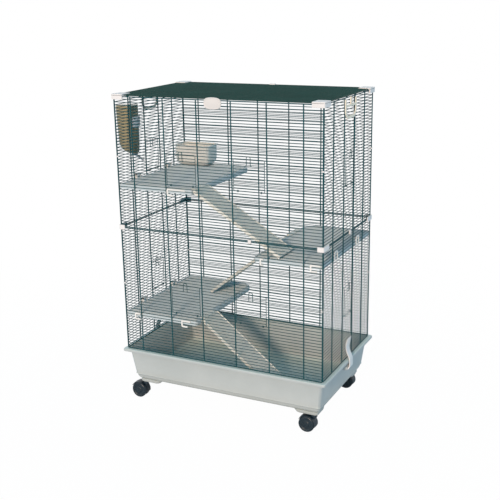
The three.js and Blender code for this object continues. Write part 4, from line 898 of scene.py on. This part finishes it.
for shelf, hooks in hooks_along_front.items():
    low, high = cad_box(shelf)
    width = high.x - low.x
    half_depth = high.y
    top = high.z - RIB_TOP
    away = -1 if shelf.endswith("right") else 1
    wall_x = low.x if away > 0 else high.x
    board = bmesh.new()
    levels = ((SHELF_WALL, -SHELF_PLATE), (SHELF_WALL, -SHELF_SKIRT + 0.4), (SHELF_WALL - 0.4, -SHELF_SKIRT),
              (0.4, -SHELF_SKIRT), (0, -SHELF_SKIRT + 0.4), (0, -3), (0.5, -1.2), (1.6, -0.1), (3, 0.3),
              (5.4, 0.3), (6.4, -0.2), (7, -0.9), (8.5, -1))
    loft(board, [[Vector((wall_x + away * x, y, top + z)) for x, y in shelf_outline(width, half_depth, inset)]
                 for inset, z in levels])
    y = -half_depth + 14
    while y < half_depth - 10:
        past = max(0, y - (half_depth - SHELF_CORNER))
        cut = SHELF_CORNER - math.sqrt(SHELF_CORNER ** 2 - past ** 2)
        near, far = wall_x + away * 12, wall_x + away * (width - 13 - cut)
        rib = [(near, -0.9), (near + away * 2, -0.2), (far - away * 2, -0.2), (far, -0.9)]
        sweep(board, [(x, y, top + z) for x, z in rib], oval_section(1.3, 1.7))
        y += RIB_PITCH
    make_piece(shelf.replace("shelf", "ribbed_shelf"), board, shelf_shade_grey, "cage", [shelf],
               crease=40)

    for number, (place, hook_width) in enumerate(hooks):
        hook = bmesh.new()
        left = cage_middle - cage_half_width + place
        right = left + hook_width
        front = -half_depth - HOOK_STAND_OFF
        bar_low, bar_high = top - SHELF_SKIRT - HOOK_DROP + HOOK_BAR / 2, top - 1 - HOOK_BAR / 2
        loop = [(right, bar_high), (left + HOOK_BAR / 2, bar_high), (left + HOOK_BAR / 2, bar_low),
                (min(right, left + 26), bar_low)]
        sweep(hook, bend([(x, front, z) for x, z in loop], 4), bar_section(HOOK_THICKNESS, HOOK_BAR, 0.9))
        slab(hook, oblong(left + 1, right - 1, front - 0.5, -half_depth + 3), top - 1 - HOOK_BAR, top - 1.6)
        make_piece(f"{shelf}_hook_{number}", hook, hook_cream, "cage", crease=40)

    for number, depth in enumerate((-0.5, 0.42)):
        hook = bmesh.new()
        middle_y = depth * half_depth
        face, inner = wall_x - away * HOOK_STAND_OFF, wall_x + away * 9
        start, end = middle_y - SIDE_HOOK_HALF, middle_y + SIDE_HOOK_HALF
        z_low, z_high = top - SHELF_SKIRT, top + SIDE_HOOK_RISE
        loop = oblong(start + 1, end - 1, z_low + SIDE_HOOK_BAR / 2, z_high - SIDE_HOOK_BAR / 2)
        sweep(hook, bend([(face, y, z) for y, z in loop], 4, closed=True),
              bar_section(HOOK_THICKNESS, SIDE_HOOK_BAR, 0.9), (1, 0, 0), closed=True)
        slab(hook, oblong(face, inner, start, end), z_high - 4, z_high - 0.6)
        for cheek in (start, end - SIDE_HOOK_CHEEK):
            slab(hook, oblong(face, inner, cheek, cheek + SIDE_HOOK_CHEEK), top - 1, z_high - 0.6)
        make_piece(f"{shelf}_side_hook_{number}", hook, hook_cream, "cage", crease=40)

# ---------------- ramps
# Three moulded planks between the levels: a ribbed board with a raised edge down each side, and
# a tongue that lies on the shelf it leaves.
RAMP_WIDTH = 108
RAMP_EDGE = 9
RAMP_PLATE = 3
RAMP_TONGUE = 12
TONGUE_TOP = 3.3
TREAD_PITCH = 9.5
RAMP_RAIL = 1.8
RAMP_GAP = 0.3
TONGUE_INSET = 10
middle_top = cad_box("shelf_middle_right")[1].z
low_top = cad_box("shelf_low_left")[1].z
tray_floor = tray_foot + TRAY_WALL
ramp_beige = moulded_plastic("ramp_beige", (241, 233, 219), (234, 226, 212), 0.38,
                             grain=0.0001, speckle=500, also={"Specular IOR Level": 0.85})

for ramp, run, lands_on, direction in (("ramp_high", 327, middle_top, 1), ("ramp_middle", 330, low_top, -1),
                                       ("ramp_low", 335, tray_floor, 1)):
    low, high = cad_box(ramp)
    top = high.z - TONGUE_TOP
    drop = top - lands_on - RAMP_EDGE - RAMP_GAP
    slope = math.atan2(drop, run)
    length = math.hypot(run, drop)
    start = RAMP_EDGE * math.sin(slope) + 2 * RAMP_GAP
    half = RAMP_WIDTH / 2
    plank = bmesh.new()
    rail = [(half - 3, -RAMP_PLATE), (half - 3, -RAMP_EDGE), (half, -RAMP_EDGE), (half, RAMP_RAIL),
            (half - 3.4, RAMP_RAIL), (half - 4.4, 0)]
    section = rail + [(-x, z) for x, z in rail[::-1]]
    tilted = Matrix.Translation((start, 0, 0)) @ Matrix.Rotation(slope, 4, "Y")
    lengthwise = tilted @ Matrix(((0, 0, 1, 0), (1, 0, 0, 0), (0, 1, 0, 0), (0, 0, 0, 1)))
    slab(plank, section, 0, length, lengthwise)
    tread = [(-half + 6, -0.3), (-half + 7.5, 0.2), (half - 7.5, 0.2), (half - 6, -0.3)]
    x = TREAD_PITCH
    while x < length - 6:
        sweep(plank, [tilted @ Vector((x, y, z)) for y, z in tread], oval_section(1.5, 0.9), (0, 0, 1))
        x += TREAD_PITCH
    inner = half - TONGUE_INSET
    tongue = [(-RAMP_TONGUE, -inner + 4), (-RAMP_TONGUE + 4, -inner), (start + 3, -inner),
              (start + 3, inner), (-RAMP_TONGUE + 4, inner), (-RAMP_TONGUE, inner - 4)]
    slab(plank, tongue, RIB_TOP + 0.1, RAMP_GAP + RAMP_PLATE)
    slab(plank, oblong(2 * RAMP_GAP, start + 3, -inner, inner), -RAMP_PLATE, RAMP_GAP + 1.2)
    edge_at = low.x + RAMP_TONGUE if direction > 0 else high.x - RAMP_TONGUE
    stand = Matrix.Translation((edge_at, (low.y + high.y) / 2, top)) @ Matrix.Rotation(
        0 if direction > 0 else math.pi, 4, "Z")
    make_piece(ramp.replace("ramp", "ribbed_ramp"), plank, ramp_beige, "cage", [ramp],
               crease=40, edge=0.6, stand=stand)

# ---------------- tub
# A shallow tub moulded in cream plastic, with a round belly and a turned-out rim. It stands in
# the back corner of the high shelf.
TUB_WALL = 2.5
TUB_RIM = 5
TUB_BEND = 30
TUB_CORNER = 15

tub_low, tub_high = cad_box("hanging_tub")
tub_middle = (tub_low + tub_high) / 2
tub_half = (tub_high - tub_low) / 2
tub_height = tub_high.z - tub_low.z


def tub_ring(inset, z, radius):
    return round_ring(tub_half.x - inset, tub_half.y - inset, radius, tub_low.z + z, tub_middle, 8)


tub = bmesh.new()
tub_bend = (tub_ring, TUB_RIM, 0, TUB_BEND, TUB_CORNER)
rings = foot_bend(*tub_bend, steps=8)
rings += [tub_ring(inset, z, TUB_CORNER) for inset, z in (
    (TUB_RIM - 0.6, tub_height - 9), (TUB_RIM - 1.2, tub_height - 5.2), (TUB_RIM - 2.4, tub_height - 4.2),
    (1, tub_height - 4.2), (0.2, tub_height - 3.4), (0, tub_height - 2), (0.4, tub_height - 0.6),
    (1.6, tub_height), (TUB_RIM + 0.6, tub_height), (TUB_RIM + TUB_WALL - 0.2, tub_height - 0.8))]
loft(tub, rings + foot_bend(*tub_bend, TUB_WALL, 8))
tub_cream = moulded_plastic("tub_cream", (250, 243, 232), (243, 235, 224), 0.42)
make_piece("shallow_tub", tub, tub_cream, "cage", ["hanging_tub"], crease=50)

# ---------------- drinking bottle
# An amber blown bottle that hangs mouth down outside the left net: flat to the wires, drawn in
# at its foot, with a recess for the cream holder and a steel spout through the wires.
HOLDER_DROP = 42
HOLDER_HEIGHT = 38
BOTTLE_FOOT = 46
BOTTLE_SHOULDER = 6
BOTTLE_TAPER = 6
BOTTLE_SQUARENESS = 0.72
NECK_WIDTH, NECK_DEPTH = 24, 26
RECESS_DEPTH = 16
bottle_low, bottle_high = cad_box("drinking_bottle")
bottle_width = bottle_high.x - bottle_low.x
bottle_depth = bottle_high.y - bottle_low.y
bottle_height = bottle_high.z - bottle_low.z
bottle_y = (bottle_low.y + bottle_high.y) / 2
recess_foot = bottle_height - HOLDER_DROP - HOLDER_HEIGHT
recess_top = recess_foot + HOLDER_HEIGHT


def bottle_ring(width, depth, z, recessed=False):
    ring = []
    for angle in full_circle(64):
        c, s = math.cos(angle), math.sin(angle)
        x = -width / 2 + width / 2 * math.copysign(abs(c) ** BOTTLE_SQUARENESS, c)
        y = depth / 2 * math.copysign(abs(s) ** BOTTLE_SQUARENESS, s)
        if recessed and y > -21:
            x = min(x, -RECESS_DEPTH)
        ring.append(Vector((bottle_high.x + x, bottle_y + y, bottle_low.z + z)))
    return ring


def body_size(z):
    """Width and depth of the bottle's body at a height: it widens slowly to its shoulder."""
    share = min(max((z - BOTTLE_FOOT) / (bottle_height - BOTTLE_SHOULDER - BOTTLE_FOOT), 0), 1)
    return [size - BOTTLE_TAPER + BOTTLE_TAPER * share for size in (bottle_width, bottle_depth)]


bottle = bmesh.new()
foot_width, foot_depth = body_size(BOTTLE_FOOT)
rings = []
for i in range(11):
    turn = i / 10 * math.pi / 2
    rings.append(bottle_ring(NECK_WIDTH + (foot_width - NECK_WIDTH) * math.sin(turn),
                             NECK_DEPTH + (foot_depth - NECK_DEPTH) * math.sin(turn),
                             BOTTLE_FOOT * (1 - math.cos(turn))))
for z, recessed in ((recess_foot - 4, False), (recess_foot, False), (recess_foot + 0.6, True),
                    (recess_foot + HOLDER_HEIGHT / 2, True), (recess_top - 0.6, True), (recess_top, False),
                    (recess_top + 4, False), (bottle_height - 9, False)):
    rings.append(bottle_ring(*body_size(z), z, recessed))
rings += [bottle_ring(bottle_width - inset, bottle_depth - inset, z) for inset, z in (
    (0, bottle_height - 6), (0.8, bottle_height - 4), (2.6, bottle_height - 2), (5.4, bottle_height - 0.6),
    (10, bottle_height))]
loft(bottle, rings)
bottle_amber = moulded_plastic("bottle_amber", (160, 141, 102), (148, 130, 94), 0.2,
                               grain=0.00003, speckle=120, also={"Coat Weight": 0.4})
make_piece("amber_bottle", bottle, bottle_amber, "cage", ["drinking_bottle"], crease=40)

# the cap is screwed on the bottle's mouth, and its spout slopes down between two wires
CAP_RADIUS = 11
CAP_RIB = 0.35
SPOUT_RADIUS = 4
SPOUT_LENGTH = 40
SPOUT_SLOPE = 28
spout_top = cad_box("bottle_spout")[1].z
cap_axis = Vector((bottle_high.x - CAP_RADIUS - 3, bottle_y, 0))
spout = bmesh.new()


def cap_ring(radius, z):
    """One level of the cap: a circle, with fine ribs where it is at its widest."""
    ribbed = CAP_RIB if radius > 10.5 else 0
    return [cap_axis + Vector(((radius + ribbed * (i % 2)) * math.cos(a),
                               (radius + ribbed * (i % 2)) * math.sin(a), spout_top + z))
            for i, a in enumerate(full_circle(48))]


loft(spout, [cap_ring(radius, z) for radius, z in (
    (0.01, -9), (CAP_RADIUS - 1.4, -9), (CAP_RADIUS - 0.4, -8), (CAP_RADIUS, -6.5), (CAP_RADIUS, -1),
    (CAP_RADIUS - 0.6, -0.1), (0.01, 0))])
slope = math.radians(SPOUT_SLOPE)
along = Vector((math.cos(slope), 0, -math.sin(slope)))
side = Vector((0, 1, 0))
other = along.cross(side)
root = cap_axis + Vector((0, 0, spout_top - 4.5))
sweep(spout, [root, root + along * (SPOUT_LENGTH - 2)], round_section(SPOUT_RADIUS, 20))
ball = []
for share in range(7):
    angle = share / 6 * math.pi / 2
    at = root + along * (SPOUT_LENGTH - 2 + SPOUT_RADIUS * math.sin(angle))
    size = max(SPOUT_RADIUS * math.cos(angle), 0.05)
    ball.append([at + size * (math.cos(a) * side + math.sin(a) * other) for a in full_circle(20)])
for lower, upper in zip(ball, ball[1:]):
    loft(spout, [lower, upper])
spout_steel = moulded_plastic("spout_steel", (176, 182, 188), (160, 167, 174), 0.22, also={"Metallic": 1})
make_piece("bottle_cap_and_spout", spout, spout_steel, "cage", ["bottle_spout"], crease=40)
softened("bottle_holder", clip_cream, 0.8)
